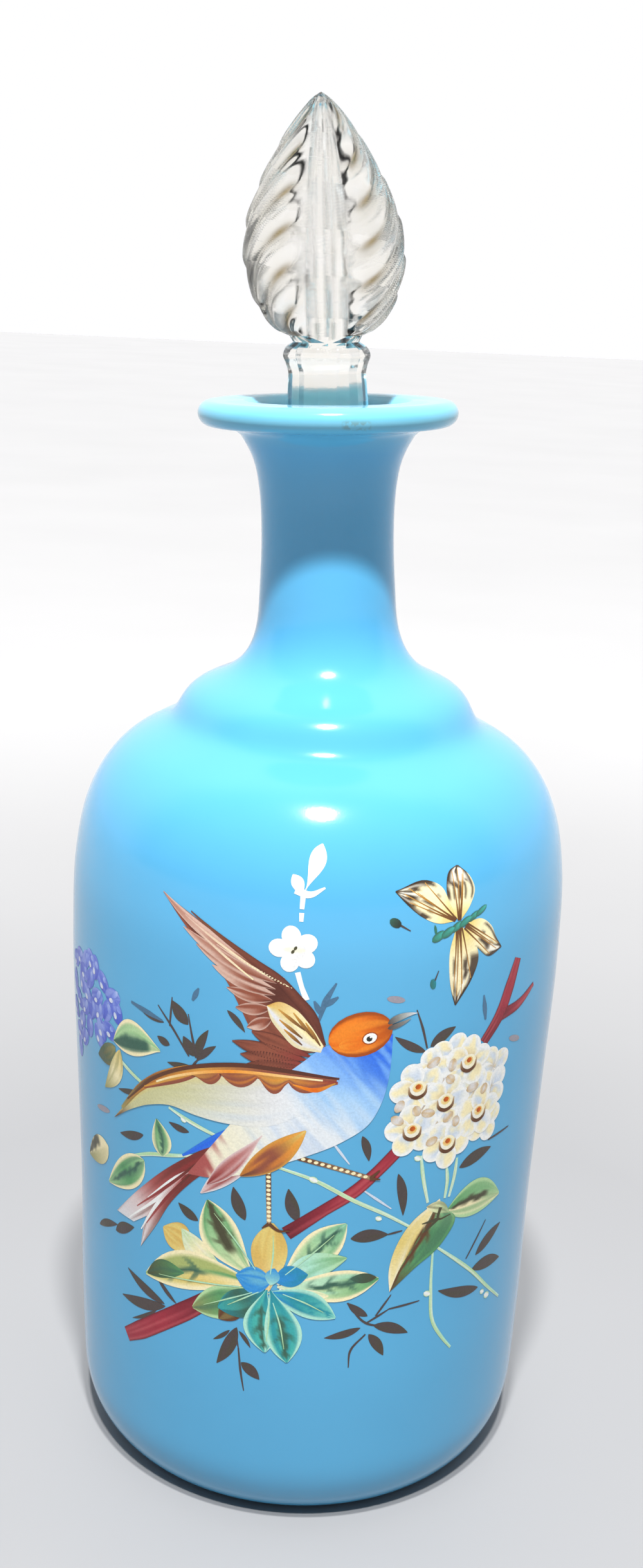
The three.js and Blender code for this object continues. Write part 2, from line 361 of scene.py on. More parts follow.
def bendPoint(x, y, z):
    # everything above bendStart leans over to the left, with level rings square to the axis
    lean = b["neckLean"]
    above = max(z - bendStart, 0)
    angle = lean * min(above / b["bendLength"], 1)
    straight = max(above - b["bendLength"], 0)
    radius = b["bendLength"] / lean
    axisX = -radius * (1 - math.cos(angle)) - math.sin(angle) * straight
    axisZ = radius * math.sin(angle) + math.cos(angle) * straight
    return (axisX + x * math.cos(angle), y, min(z, bendStart) + axisZ + x * math.sin(angle))


def turnedSurface(profile, segments, place):
    vertices, faces, rows = [], [], []
    for radius, height in profile:
        if radius < 1e-6:
            rows.append([len(vertices)] * segments)
            vertices.append(place(0, 0, height))
            continue
        rows.append(list(range(len(vertices), len(vertices) + segments)))
        for i in range(segments):
            turn = 2 * math.pi * i / segments
            vertices.append(place(radius * math.cos(turn), radius * math.sin(turn), height))
    for low, high in zip(rows, rows[1:]):
        for i in range(segments):
            j = (i + 1) % segments
            corners = list(dict.fromkeys([low[i], low[j], high[j], high[i]]))
            faces.append(corners)
    return vertices, faces


def makeOpaline():
    material, tree, shader = newMaterial("opaline glass")
    look = opalineLook
    surface = placeSurface(tree, look["cloudSize"], look["grainSize"], look["grainShare"])
    clouded = blendColours(
        tree, spread(tree, surface.outputs["Cloud"], 0, 1), look["glass"], look["cloudy"])
    place = addNode(tree, "ShaderNodeTexCoord")
    axes = addNode(tree, "ShaderNodeSeparateXYZ")
    tree.links.new(place.outputs["Object"], axes.inputs[0])
    # the lip is painted paler and greener: a painted highlight for its lit top
    lipShare = remap(tree, axes.outputs["Z"], 0, 1, look["lipFrom"], look["lipFull"])
    clouded = blendColours(tree, lipShare, clouded, look["lip"])
    # small worn marks under the front of the lip
    scuffs = addNode(tree, "ShaderNodeTexNoise")
    setInputs(scuffs, Scale=look["wornGrain"], Detail=look["wornDetail"])
    tree.links.new(place.outputs["Object"], scuffs.inputs["Vector"])
    wornShare = remap(tree, scuffs.outputs["Fac"], 0, look["wornMost"], *look["wornGrainReach"])
    front = remap(tree, axes.outputs["Y"], 1, 0, look["wornFront"], 0)
    for share in (front, *within(tree, axes.outputs["X"], look["wornAcross"], look["wornSoft"]),
                  *within(tree, axes.outputs["Z"], look["wornUp"], look["wornSoft"])):
        both = addNode(tree, "ShaderNodeMath", operation="MULTIPLY")
        tree.links.new(wornShare, both.inputs[0])
        tree.links.new(share, both.inputs[1])
        wornShare = both.outputs[0]
    clouded = blendColours(tree, wornShare, clouded, look["worn"])
    tree.links.new(clouded, shader.inputs["Base Color"])
    rough = spread(tree, surface.outputs["Cloud"], *look["gloss"])
    tree.links.new(rough, shader.inputs["Roughness"])
    setInputs(shader, IOR=look["refraction"])
    addBump(tree, shader, surface.outputs["Height"], look["waviness"], look["wavesDepth"])
    return material


opaline = makeOpaline()
foot, wallProfile = outerProfile()
bottlePoints, bottleFaces = turnedSurface(
    [*foot, *wallProfile, *innerProfile()], b["turnSegments"], bendPoint)
bottle = newPiece("blownBottle", bottlePoints, bottleFaces, opaline, b["sharpAngle"])
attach(bottle, "root")
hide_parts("bottle")
print("bottle turned:", len(bottleFaces), "faces")


# Enamel painting on the front of the body.
# Places are (arc, height) in millimetres: arc is measured round the glass from the front, + to the right.
# Levels say what lies over what within a piece, and seedStep gives each shape a noise of its own.
enamelValues = dict(
    arcRadius=44, slopeReach=0.5, firstLift=0.03, liftStep=0.0035, cell=0.5, leastRows=4, mostRows=90,
    leastColumns=3, mostColumns=60, seedStep=0.37, outlineSteps=6, strokeSteps=5,
    leafSteps=14, leafTip=0.03, leafFullness=0.8, dabSteps=10, dabTrim=0.06,
    gloss=(0.3, 0.46), cloudSize=420, grainSize=2600, grainShare=0.6, grainShade=(0.92, 1.06),
    brushing=0.25, brushDepth=0.0002, strength=0.86, refraction=1.5, specular=0.3,
)
brushValues = dict(
    halfReach=(0.4, 0.6), streakLength=1.4, streakReach=(-0.15, 0.35), rimEdges=(0.5, 1.3),
    shake=0.09, shakeSize=9, shakePlane=5.0, stripeEdges=(0.6, 1.4), stripeFade=0.12,
    veinSlant=1.6, veinEdges=(0.45, 0.95), veinReach=(0.12, 0.42), veinShare=0.75,
)
tones = dict(
    white=(240, 241, 238), chalk=(222, 222, 224), lilacWhite=(204, 216, 230), cream=(246, 234, 188),
    butter=(226, 202, 118), ochre=(206, 152, 66), tan=(193, 165, 128), faintTan=(152, 148, 158),
    olive=(150, 148, 92), paleOlive=(202, 200, 150), darkOlive=(74, 72, 50), paleGreen=(178, 214, 158),
    leafGreen=(88, 154, 98), deepGreen=(58, 98, 82), wingGreen=(54, 112, 92), mint=(176, 228, 206),
    teal=(34, 138, 156), aqua=(70, 180, 170), skyBlue=(46, 140, 214), paleSky=(146, 198, 246),
    cobalt=(40, 104, 224), violet=(110, 132, 224), paleViolet=(190, 206, 244), deepViolet=(66, 84, 196),
    russet=(142, 78, 58), darkRusset=(88, 44, 34), featherPale=(206, 172, 156),
    redBrown=(136, 48, 46), redFeather=(170, 84, 80), rosyWhite=(222, 202, 200),
    orange=(226, 106, 14), darkOrange=(160, 72, 12), paleOrange=(240, 150, 48),
    branchRed=(158, 42, 58), branchDark=(104, 28, 40), branchPale=(190, 84, 90),
    umber=(98, 62, 38), shade=(78, 68, 66), faintShade=(74, 112, 142), beak=(150, 156, 152), ink=(44, 44, 40),
)
painting = {}


def wallRadius(height):
    points = wallProfile
    low, high = 0, len(points) - 1
    while high - low > 1:
        middle = (low + high) // 2
        if points[middle].y <= height:
            low = middle
        else:
            high = middle
    share = (height - points[low].y) / max(points[high].y - points[low].y, 1e-6)
    return mix(points[low].x, points[high].x, min(max(share, 0), 1))


def onGlass(place, lift):
    turn = place.x / enamelValues["arcRadius"]
    reach = enamelValues["slopeReach"]
    radius = wallRadius(place.y)
    slope = wallRadius(place.y + reach) - wallRadius(place.y - reach)
    outward = Vector((math.sin(turn), -math.cos(turn), -slope)).normalized()
    return Vector((radius * math.sin(turn), -radius * math.cos(turn), place.y)) + outward * lift


def tone(name):
    return Vector(tones[name]) / 255


def blend(colour, name, share):
    return colour.lerp(tone(name), share)


def linear(value):
    # from the tones above to the values that a material takes
    return value / 12.92 if value <= 0.04045 else ((value + 0.055) / 1.055) ** 2.4


def lengthOf(curve):
    return sum((b - a).length for a, b in zip(curve, curve[1:]))


def layBand(piece, level, edges, colourAt):
    # a filled shape between two edges that run the same way, in cells small enough to follow the glass
    v = enamelValues
    vertices, faces, colours = painting.setdefault(piece, ([], [], []))
    longest = max(lengthOf(edge) for edge in edges)
    rows = min(max(math.ceil(longest / v["cell"]), v["leastRows"]), v["mostRows"])
    first, second = (spaced(edge, rows) for edge in edges)
    width = max((p - q).length for p, q in zip(first, second))
    columns = min(max(math.ceil(width / v["cell"]), v["leastColumns"]), v["mostColumns"])
    lift = v["firstLift"] + v["liftStep"] * level
    start, seed = len(vertices), len(faces) * v["seedStep"]
    for i, (p, q) in enumerate(zip(first, second)):
        for j in range(columns + 1):
            place = p.lerp(q, j / columns)
            vertices.append(onGlass(place, lift))
            colours.append(colourAt(i / rows, j / columns, place, seed))
    middle = rows // 2
    along, across = first[middle + 1] - first[middle], second[middle] - first[middle]
    outward = along.x * across.y - along.y * across.x > 0
    for i in range(rows):
        for j in range(columns):
            k = start + i * (columns + 1) + j
            corners = (k, k + columns + 1, k + columns + 2, k + 1)
            faces.append(corners if outward else corners[::-1])


def outline(*points):
    return curveThrough(points, enamelValues["outlineSteps"])


def leafEdges(base, tip, width, bend, widest):
    v = enamelValues
    base, tip = Vector(base), Vector(tip)
    along = tip - base
    aside = Vector((-along.y, along.x))
    power = math.log(0.5) / math.log(widest)
    edges = ([], [])
    for i in range(v["leafSteps"] + 1):
        u = i / v["leafSteps"]
        centre = base + along * u + aside * bend * 4 * u * (1 - u)
        half = width / 2 * max(math.sin(math.pi * u ** power), v["leafTip"]) ** v["leafFullness"]
        for edge, side in zip(edges, (1, -1)):
            edge.append(centre + aside.normalized() * half * side)
    return edges


def strokeEdges(points, widths):
    path = curveThrough(points, enamelValues["strokeSteps"])
    edges = ([], [])
    for i, place in enumerate(path):
        ahead = path[min(i + 1, len(path) - 1)] - path[max(i - 1, 0)]
        aside = Vector((-ahead.y, ahead.x)).normalized()
        spot = i / (len(path) - 1) * (len(widths) - 1)
        k = min(int(spot), len(widths) - 2)
        width = mix(widths[k], widths[k + 1], spot - k)
        for edge, side in zip(edges, (1, -1)):
            edge.append(place + aside * width / 2 * side)
    return edges


def dabEdges(centre, long, short, turn):
    trim, steps = enamelValues["dabTrim"], enamelValues["dabSteps"]
    edges = ([], [])
    cosTurn, sinTurn = math.cos(math.radians(turn)), math.sin(math.radians(turn))
    for i in range(steps + 1):
        t = trim + (math.pi - 2 * trim) * i / steps
        for edge, side in zip(edges, (1, -1)):
            x, y = -math.cos(t) * long / 2, math.sin(t) * short / 2 * side
            place = (centre[0] + x * cosTurn - y * sinTurn, centre[1] + x * sinTurn + y * cosTurn)
            edge.append(Vector(place))
    return edges


def brush(*along, rim=None, rimWidth=0.14, half=None, stripe=None, stripeAt=(0.5, 0.08, 0.05, 0.9),
          streak=None, share=0.5, lines=6, veins=0):
    # colour along the stroke, then the other half, streaks, a stripe with veins and the rim over it;
    # stripeAt is its place across, its width, its start and its end
    w = brushValues

    def colourAt(u, v, place, seed):
        spot = u * (len(along) - 1)
        k = min(int(spot), max(len(along) - 2, 0))
        colour = blend(tone(along[k]), along[min(k + 1, len(along) - 1)], spot - k)
        if half:
            colour = blend(colour, half, ease(v, *w["halfReach"]))
        if streak:
            wave = noise.noise(Vector((v * lines, u * w["streakLength"], seed)))
            colour = blend(colour, streak, share * ease(wave, *w["streakReach"]))
        if stripe:
            middle, width, start, stop = stripeAt
            shaky = v + w["shake"] * noise.noise(Vector((u * w["shakeSize"], seed, w["shakePlane"])))
            aside = abs(shaky - middle)
            amount = 1 - ease(aside, *(width * edge for edge in w["stripeEdges"]))
            sideVein = math.sin(2 * math.pi * (u * veins - w["veinSlant"] * aside))
            sideVein = ease(sideVein, *w["veinEdges"]) * (1 - ease(aside, *w["veinReach"]))
            amount = max(amount, w["veinShare"] * sideVein if veins else 0)
            fade = w["stripeFade"]
            amount *= ease(u, start, start + fade) * (1 - ease(u, stop - fade, stop))
            colour = blend(colour, stripe, amount)
        if rim:
            inside = ease(min(v, 1 - v), *(rimWidth * edge for edge in w["rimEdges"]))
            colour = blend(colour, rim, 1 - inside)
        return colour
    return colourAt


def leaf(piece, level, base, tip, width, colourAt, bend=0.0, widest=0.45):
    layBand(piece, level, leafEdges(base, tip, width, bend, widest), colourAt)


def stroke(piece, level, points, widths, colourAt):
    layBand(piece, level, strokeEdges(points, widths), colourAt)


def dab(piece, level, centre, long, short, colourAt, turn=0.0):
    layBand(piece, level, dabEdges(centre, long, short, turn), colourAt)


def layLeaves(piece, rows):
    for level, base, tip, width, bend, widest, paint in rows:
        leaf(piece, level, base, tip, width, paint, bend, widest)


def layStrokes(piece, rows):
    for level, points, widths, paint in rows:
        stroke(piece, level, points, widths, paint)


def layDabs(piece, rows):
    for level, centre, long, short, turn, paint in rows:
        dab(piece, level, centre, long, short, paint, turn)


# dark leaves, twigs, faint sprigs and flecks that lie behind everything
shadowValues = dict(
    leafBend=0.04, twigWidths=(0.3, 0.45, 0.2), sprigWidths=(0.4, 1.1, 0.3), fleckWidth=1.2,
    leaves=[  # base, tip, width
        ((-20.7, 96.1), (-23.9, 99.6), 2.4), ((-19.3, 90.7), (-21.6, 93.8), 2.2),
        ((-19.3, 90.4), (-17.0, 96.0), 1.6), ((-18.9, 90.1), (-15.6, 93.4), 1.3),
        ((-25.5, 95.2), (-31.0, 96.2), 1.1), ((-24.3, 91.4), (-26.9, 92.3), 1.5),
        ((-20.0, 88.6), (-24.8, 88.1), 1.2), ((-13.8, 100.2), (-10.7, 96.8), 1.1),
        ((-31.4, 80.2), (-37.0, 78.7), 1.1), ((-20.5, 76.2), (-24.6, 76.9), 1.3),
        ((-30.5, 72.3), (-36.8, 70.2), 1.7), ((-18.7, 59.6), (-22.7, 61.9), 1.9),
        ((-10.0, 61.8), (-12.2, 67.8), 2.3), ((-0.9, 62.6), (-2.7, 68.8), 2.3),
        ((-45.5, 47.6), (-38.4, 51.0), 1.5), ((-39.0, 49.6), (-33.4, 52.8), 2.2),
        ((-25.7, 40.6), (-35.2, 43.8), 1.9), ((-25.5, 40.2), (-36.8, 37.6), 2.3),
        ((-23.0, 41.6), (-27.9, 45.9), 0.9), ((-27.5, 38.6), (-33.8, 34.2), 0.8),
        ((-11.0, 40.4), (-14.6, 32.4), 2.4), ((-10.0, 33.6), (-6.6, 30.7), 2.1),
        ((-12.3, 39.6), (-15.4, 37.0), 0.8), ((-10.6, 39.8), (-8.4, 36.8), 0.8),
        ((28.4, 69.4), (36.0, 71.0), 2.5), ((16.0, 71.0), (17.5, 62.7), 1.8),
        ((8.3, 59.3), (15.0, 59.4), 2.5), ((9.2, 78.9), (10.6, 74.1), 1.5),
        ((35.0, 49.6), (42.2, 53.2), 2.4), ((34.4, 47.0), (43.2, 45.6), 2.6),
        ((36.6, 42.3), (26.2, 45.5), 2.2), ((12.2, 43.6), (8.4, 46.6), 1.5),
        ((11.0, 41.4), (4.6, 39.8), 1.5), ((13.4, 41.6), (20.2, 38.8), 2.1),
        ((12.6, 39.9), (15.6, 35.2), 1.9), ((19.2, 93.4), (13.6, 96.8), 1.5),
        ((20.0, 94.2), (24.6, 97.0), 2.0),
    ],
    twigs=[
        [(-18.8, 90.0), (-19.8, 93.6), (-20.7, 98.0)], [(-20.5, 90.4), (-23.8, 94.8), (-26.8, 98.0)],
        [(-18.9, 90.1), (-20.0, 88.6)], [(-24.3, 94.9), (-23.9, 100.2)],
        [(-10.6, 36.4), (-10.1, 32.0), (-9.4, 27.9)], [(-11.4, 40.0), (-10.6, 36.4)],
        [(35.0, 72.7), (41.0, 73.2)], [(32.4, 49.8), (37.0, 56.0)],
        [(8.4, 46.6), (12.0, 42.2), (16.8, 40.9)], [(16.2, 44.4), (22.2, 44.7)],
        [(12.0, 40.0), (9.4, 37.0), (9.2, 33.6)], [(13.7, 43.4), (16.4, 47.2)],
        [(15.0, 59.4), (17.6, 59.7)], [(19.4, 94.0), (18.4, 97.6), (17.1, 101.2)],
        [(12.0, 42.2), (16.2, 44.4)],
    ],
    sprigs=[
        [(1.1, 100.0), (2.0, 103.4), (3.6, 106.6)], [(1.6, 102.4), (4.0, 104.2)],
        [(1.4, 101.0), (0.2, 103.4)], [(31.0, 96.8), (30.2, 101.4)], [(-20.0, 100.6), (-18.9, 103.0)],
        [(-33.0, 96.6), (-25.8, 95.4)],
    ],
    flecks=[  # centre, length, turn
        ((13.4, 103.4), 3.2, -12), ((-42.5, 72.4), 5.0, 12), ((39.4, 90.8), 3.6, -20),
    ],
)


def paintShadows():
    v = shadowValues
    for base, tip, width in v["leaves"]:
        leaf("shadowLeaves", 0, base, tip, width, brush("shade", streak="darkOlive", share=0.45, lines=3),
             v["leafBend"])
    for points in v["twigs"]:
        stroke("shadowLeaves", 1, points, v["twigWidths"], brush("shade"))
    for points in v["sprigs"]:
        stroke("shadowLeaves", 1, points, v["sprigWidths"], brush("faintShade"))
    for centre, long, turn in v["flecks"]:
        dab("shadowLeaves", 0, centre, long, v["fleckWidth"], brush("faintTan"), turn)


# red branch behind the flowers and the bird's feet
branchValues = dict(
    bark=brush("branchDark", "branchRed", "branchRed", streak="branchPale", share=0.7, lines=5,
               rim="branchDark", rimWidth=0.1),
    runs=[  # points along the branch, widths along it
        ([(-16.6, 44.6), (-21.0, 41.0), (-26.4, 36.8), (-31.5, 32.8), (-35.4, 30.0)],
         (3.2, 3.6, 3.6, 3.5, 2.7)),
        ([(-2.8, 60.2), (3.4, 65.0), (8.6, 68.6), (12.0, 71.8), (16.2, 76.2)], (2.6, 2.2, 2.4, 2.2, 2.4)),
        ([(31.0, 92.6), (34.6, 97.0), (36.6, 101.4), (38.4, 106.0)], (2.0, 2.6, 2.6, 1.8)),
        ([(35.0, 96.6), (39.6, 97.2), (44.4, 99.4)], (2.2, 1.8, 0.8)),
    ],
)


def paintBranch():
    for points, widths in branchValues["runs"]:
        stroke("redBranch", 3, points, widths, branchValues["bark"])


# pale stems with buds, the leaves at the left, the cluster under the bird and the leaves at the right
foliageValues = dict(
    stemPaint=brush("mint", "paleGreen", "mint", half="paleGreen", streak="white", share=0.7),
    stemWidths=(0.45, 0.75, 0.7, 0.5), thinWidths=(0.3, 0.5, 0.2), budShape=0.75, budTurn=-25,
    stems=[
        [(-37.1, 85.0), (-33.6, 83.4), (-28.6, 81.6)], [(-24.6, 79.7), (-19.5, 78.0), (-14.0, 76.5)],
        [(-6.0, 73.2), (1.4, 70.8), (8.6, 66.6), (14.3, 63.4), (19.0, 60.2)],
        [(-35.2, 66.2), (-29.0, 69.2), (-23.6, 70.8), (-19.6, 72.0)],
        [(20.0, 73.8), (20.8, 69.4), (22.2, 64.2)], [(25.4, 70.8), (25.9, 67.6), (25.7, 64.2)],
        [(27.6, 71.6), (27.4, 68.2), (26.6, 64.2)],
        [(24.6, 55.0), (29.6, 50.8), (34.3, 46.6), (39.4, 41.4), (44.4, 36.8)],
        [(24.2, 54.0), (24.5, 46.0), (25.4, 39.6), (27.8, 35.6), (30.2, 32.6)],
    ],
    thinStems=[[(4.2, 78.0), (7.3, 73.7)], [(10.2, 68.4), (15.2, 64.4)]],
    buds=[  # centre, size
        ((1.4, 70.8), 1.6), ((13.0, 62.8), 1.3), ((19.4, 73.4), 1.5), ((23.7, 45.7), 1.6),
        ((39.6, 39.4), 1.8), ((-2.0, 74.8), 1.2), ((-21.6, 78.2), 1.2), ((38.0, 40.8), 1.4),
    ],
    leftLeaves=[  # level, base, tip, width, bend, widest, paint
        (8, (-26.3, 89.7), (-38.0, 87.6), 6.6, -0.12, 0.55,
         brush("cream", "paleGreen", "leafGreen", half="paleGreen", rim="cream", stripe="deepGreen",
               stripeAt=(0.34, 0.24, 0.15, 1.1), streak="leafGreen", share=0.4)),
        (9, (-36.2, 86.4), (-41.4, 77.2), 3.6, 0.1, 0.45, brush("butter", "cream", "olive", streak="olive")),
        (8, (-37.6, 86.4), (-43.6, 82.6), 4.0, 0.1, 0.45, brush("olive", "darkOlive", streak="deepGreen")),
        (9, (-26.0, 69.9), (-27.3, 76.6), 4.3, -0.05, 0.4,
         brush("paleGreen", "leafGreen", rim="cream", stripe="deepGreen", streak="deepGreen", share=0.5)),
        (8, (-30.4, 67.4), (-41.0, 58.6), 6.0, 0.03, 0.4,
         brush("paleGreen", "leafGreen", "paleGreen", rim="cream", stripe="deepGreen",
               streak="deepGreen", share=0.35)),
        (8, (-41.0, 65.6), (-49.8, 60.0), 5.4, 0.0, 0.4,
         brush("cream", "olive", half="cream", stripe="darkOlive", stripeAt=(0.8, 0.2, 0.3, 1.1))),
    ],
    clusterLevel=6,
    clusterLeaves=[  # base, tip, width, bend, widest, paint
        ((-19.0, 52.4), (-26.0, 56.0), 6.2, -0.10, 0.6,
         brush("cream", "butter", "butter", streak="ochre", share=0.5)),
        ((-14.0, 51.6), (-22.0, 57.0), 4.6, 0.10, 0.55,
         brush("paleGreen", "cream", "paleGreen", streak="white")),
        ((-8.0, 51.0), (-16.9, 64.2), 7.8, 0.10, 0.6,
         brush("cream", "paleGreen", "leafGreen", rim="cream", streak="leafGreen", share=0.7,
               stripe="darkOlive", stripeAt=(0.58, 0.14, 0.3, 1.05), veins=5)),
        ((-8.0, 49.6), (-30.2, 45.0), 7.6, -0.10, 0.55,
         brush("cream", "butter", "paleGreen", rim="cream", half="leafGreen", streak="butter", share=0.6,
               stripe="deepGreen", stripeAt=(0.5, 0.06, 0.35, 0.95), veins=5)),
        ((-21.5, 48.4), (-29.8, 45.2), 3.6, -0.10, 0.5,
         brush("leafGreen", "darkOlive", streak="deepGreen")),
        ((-7.2, 48.6), (-19.6, 42.2), 6.4, 0.02, 0.55,
         brush("cream", "leafGreen", "olive", streak="deepGreen", share=0.5, rim="paleGreen")),
        ((-8.8, 47.0), (-14.4, 41.4), 4.0, 0.0, 0.6,
         brush("umber", "umber", streak="olive", share=0.5)),
        ((-5.6, 48.0), (-5.2, 62.0), 6.4, 0.02, 0.6,
         brush("cream", "butter", "butter", streak="ochre", share=0.45)),
        ((-4.0, 50.0), (7.4, 62.3), 6.6, 0.0, 0.62,
         brush("white", "paleGreen", "mint", rim="cream", streak="leafGreen",
               stripe="deepGreen", stripeAt=(0.5, 0.08, 0.3, 0.95), veins=5)),
        ((-3.6, 49.0), (7.8, 55.6), 5.0, 0.12, 0.55,
         brush("white", "mint", "paleGreen", streak="leafGreen")),
        ((-4.0, 49.6), (13.8, 50.9), 6.2, -0.02, 0.6,
         brush("cream", "paleGreen", "leafGreen", rim="cream", stripe="deepGreen",
               stripeAt=(0.45, 0.08, 0.25, 1.0), streak="mint", share=0.6, veins=5)),
        ((8.6, 51.4), (13.4, 51.2), 2.0, 0.0, 0.5, brush("deepGreen", "darkOlive")),
        ((-5.0, 48.0), (5.0, 48.2), 3.6, -0.05, 0.55, brush("white", "cream", streak="paleGreen")),
        ((-5.6, 48.4), (6.4, 43.8), 5.2, 0.06, 0.55,
         brush("skyBlue", "teal", "mint", streak="aqua", rim="mint",
               stripe="teal", stripeAt=(0.5, 0.06, 0.2, 1.0), veins=4)),
        ((-6.2, 48.6), (-14.6, 43.6), 5.6, 0.06, 0.55,
         brush("teal", "deepGreen", "teal", streak="aqua", share=0.6)),
        ((-5.8, 48.8), (-5.8, 36.4), 6.2, -0.08, 0.6,
         brush("teal", "aqua", "mint", streak="teal", share=0.6, rim="mint", half="aqua",
               stripe="deepGreen", stripeAt=(0.5, 0.06, 0.2, 1.0), veins=4)),
        ((-5.2, 48.8), (-1.8, 34.8), 6.6, 0.04, 0.6,
         brush("teal", "aqua", "aqua", streak="teal", share=0.6, rim="mint",
               stripe="deepGreen", stripeAt=(0.52, 0.1, 0.3, 1.0), veins=4)),
        ((-5.0, 50.6), (-11.4, 50.8), 5.4, 0.05, 0.5,
         brush("skyBlue", "skyBlue", streak="mint", share=0.4)),
        ((-4.6, 50.8), (1.2, 52.4), 4.2, 0.05, 0.5, brush("skyBlue", "teal", streak="skyBlue")),
        ((-5.2, 49.8), (-4.6, 53.2), 2.6, 0.0, 0.5, brush("mint", "skyBlue")),
    ],
    # pale veins run from the heart of the cluster to these tips
    heart=(-5.4, 49.4), veinStart=0.25, veinBow=(0.25, 0.2), veinWidths=(0.15, 0.3, 0.1),
    veinTips=[(-15.6, 62.0), (-27.0, 46.2), (-17.4, 43.4), (5.4, 60.2), (4.2, 45.0), (-12.8, 44.6),
              (-5.6, 38.6), (-2.4, 37.4), (-5.0, 59.6)],
    hangingLeaf=[  # level, edges, paint of its pale and its green half
        (10, (outline((24.6, 64.4), (19.3, 61.0), (16.6, 56.6), (15.6, 52.0), (16.0, 47.8)),
              outline((24.8, 64.0), (22.4, 59.6), (20.6, 56.4), (18.6, 52.0), (16.0, 47.8))),
         brush("cream", "butter", "cream", streak="white", stripe="umber", stripeAt=(0.95, 0.12, 0.2, 1.1))),
        (11, (outline((24.4, 64.0), (22.0, 59.4), (20.0, 56.0), (17.8, 52.4), (16.0, 47.8)),
              outline((24.8, 62.6), (28.6, 59.6), (25.8, 55.0), (20.6, 51.6), (16.0, 47.8))),
         brush("paleGreen", "leafGreen", "leafGreen", "umber", streak="deepGreen", share=0.45,
               stripe="umber", stripeAt=(0.1, 0.1, 0.05, 1.1), veins=4)),
    ],
    rightLeaves=[
        (8, (26.6, 61.6), (40.4, 60.0), 7.2, 0.09, 0.45,
         brush("leafGreen", "paleGreen", half="cream", rim="paleGreen", streak="leafGreen",
               stripe="darkOlive", stripeAt=(0.5, 0.09, 0.02, 0.75))),
    ],
    hangingTop=[(12, (22.0, 63.4), (27.0, 61.0), 2.2, 0.1, 0.45,
                 brush("cream", "paleGreen", streak="darkOlive"))],
    hangingVeins=[[(25.0, 62.6), (24.6, 60.4), (27.4, 60.6)], [(24.6, 60.4), (22.0, 58.4)],
                  [(24.6, 60.4), (21.4, 60.2)]],
    hangingVeinWidths=(0.7, 0.5, 0.2),
)


def paintFoliage():
    v = foliageValues
    for points in v["stems"]:
        stroke("foliage", 5, points, v["stemWidths"], v["stemPaint"])
    for points in v["thinStems"]:
        stroke("foliage", 5, points, v["thinWidths"], brush("lilacWhite"))
    for centre, size in v["buds"]:
        dab("foliage", 7, centre, size, size * v["budShape"], brush("white", rim="paleGreen"), v["budTurn"])
    layLeaves("foliage", v["leftLeaves"])
    for i, (base, tip, width, bend, widest, paint) in enumerate(v["clusterLeaves"]):
        leaf("foliage", v["clusterLevel"] + i, base, tip, width, paint, bend, widest)
    for tip in v["veinTips"]:
        start = Vector(v["heart"]).lerp(Vector(tip), v["veinStart"])
        middle = start.lerp(Vector(tip), 0.5) + Vector(v["veinBow"])
        stroke("foliage", 27, [start, middle, tip], v["veinWidths"], brush("mint", "paleGreen"))
    layLeaves("foliage", v["rightLeaves"])
    for level, edges, paint in v["hangingLeaf"]:
        layBand("foliage", level, edges, paint)
    layLeaves("foliage", v["hangingTop"])
    for points in v["hangingVeins"]:
        stroke("foliage", 13, points, v["hangingVeinWidths"], brush("darkOlive"))


# violet flower spike at the far left, in loose dabs
spikeValues = dict(
    petal=(4.6, 3.2), turnStep=47, gleamAt=(0.7, 0.6), gleam=(2.4, 1.1), gleamShrink=0.4, gleamTurn=35,
    dotAt=(-0.4, -0.8), dot=(1.3, 0.9),
    places=[
        (-52.0, 98.0), (-48.6, 98.6), (-44.3, 98.8), (-41.4, 97.2), (-38.2, 95.6), (-46.4, 95.9),
        (-50.7, 93.8), (-47.9, 92.6), (-43.6, 93.6), (-40.0, 92.3), (-37.0, 93.2), (-52.9, 89.6),
        (-49.3, 89.4), (-45.7, 90.6), (-42.1, 88.0), (-39.3, 88.8), (-51.4, 86.0), (-47.1, 86.6),
        (-43.2, 86.4), (-53.6, 83.0), (-50.0, 83.2), (-53.6, 80.0), (-46.0, 99.4), (-49.6, 96.0),
        (-43.0, 91.0), (-55.6, 92.0), (-56.0, 86.6), (-55.0, 96.4),
    ],
)


def paintSpike():
    v = spikeValues
    for i, (arc, height) in enumerate(v["places"]):
        turn = (i * v["turnStep"]) % 180
        dab("violetSpike", i % 3, (arc, height), *v["petal"],
            brush("deepViolet", "violet", streak="paleViolet", share=0.5, lines=3), turn)
        long, short = v["gleam"]
        dab("violetSpike", 4 + i % 3, (arc + v["gleamAt"][0], height + v["gleamAt"][1]),
            long - v["gleamShrink"] * (i % 4), short,
            brush("violet", "paleViolet", streak="violet", share=0.6), turn + v["gleamTurn"])
        if i % 4 != 1:
            dab("violetSpike", 8, (arc + v["dotAt"][0], height + v["dotAt"][1]), *v["dot"],
                brush("white", "paleViolet"), turn)


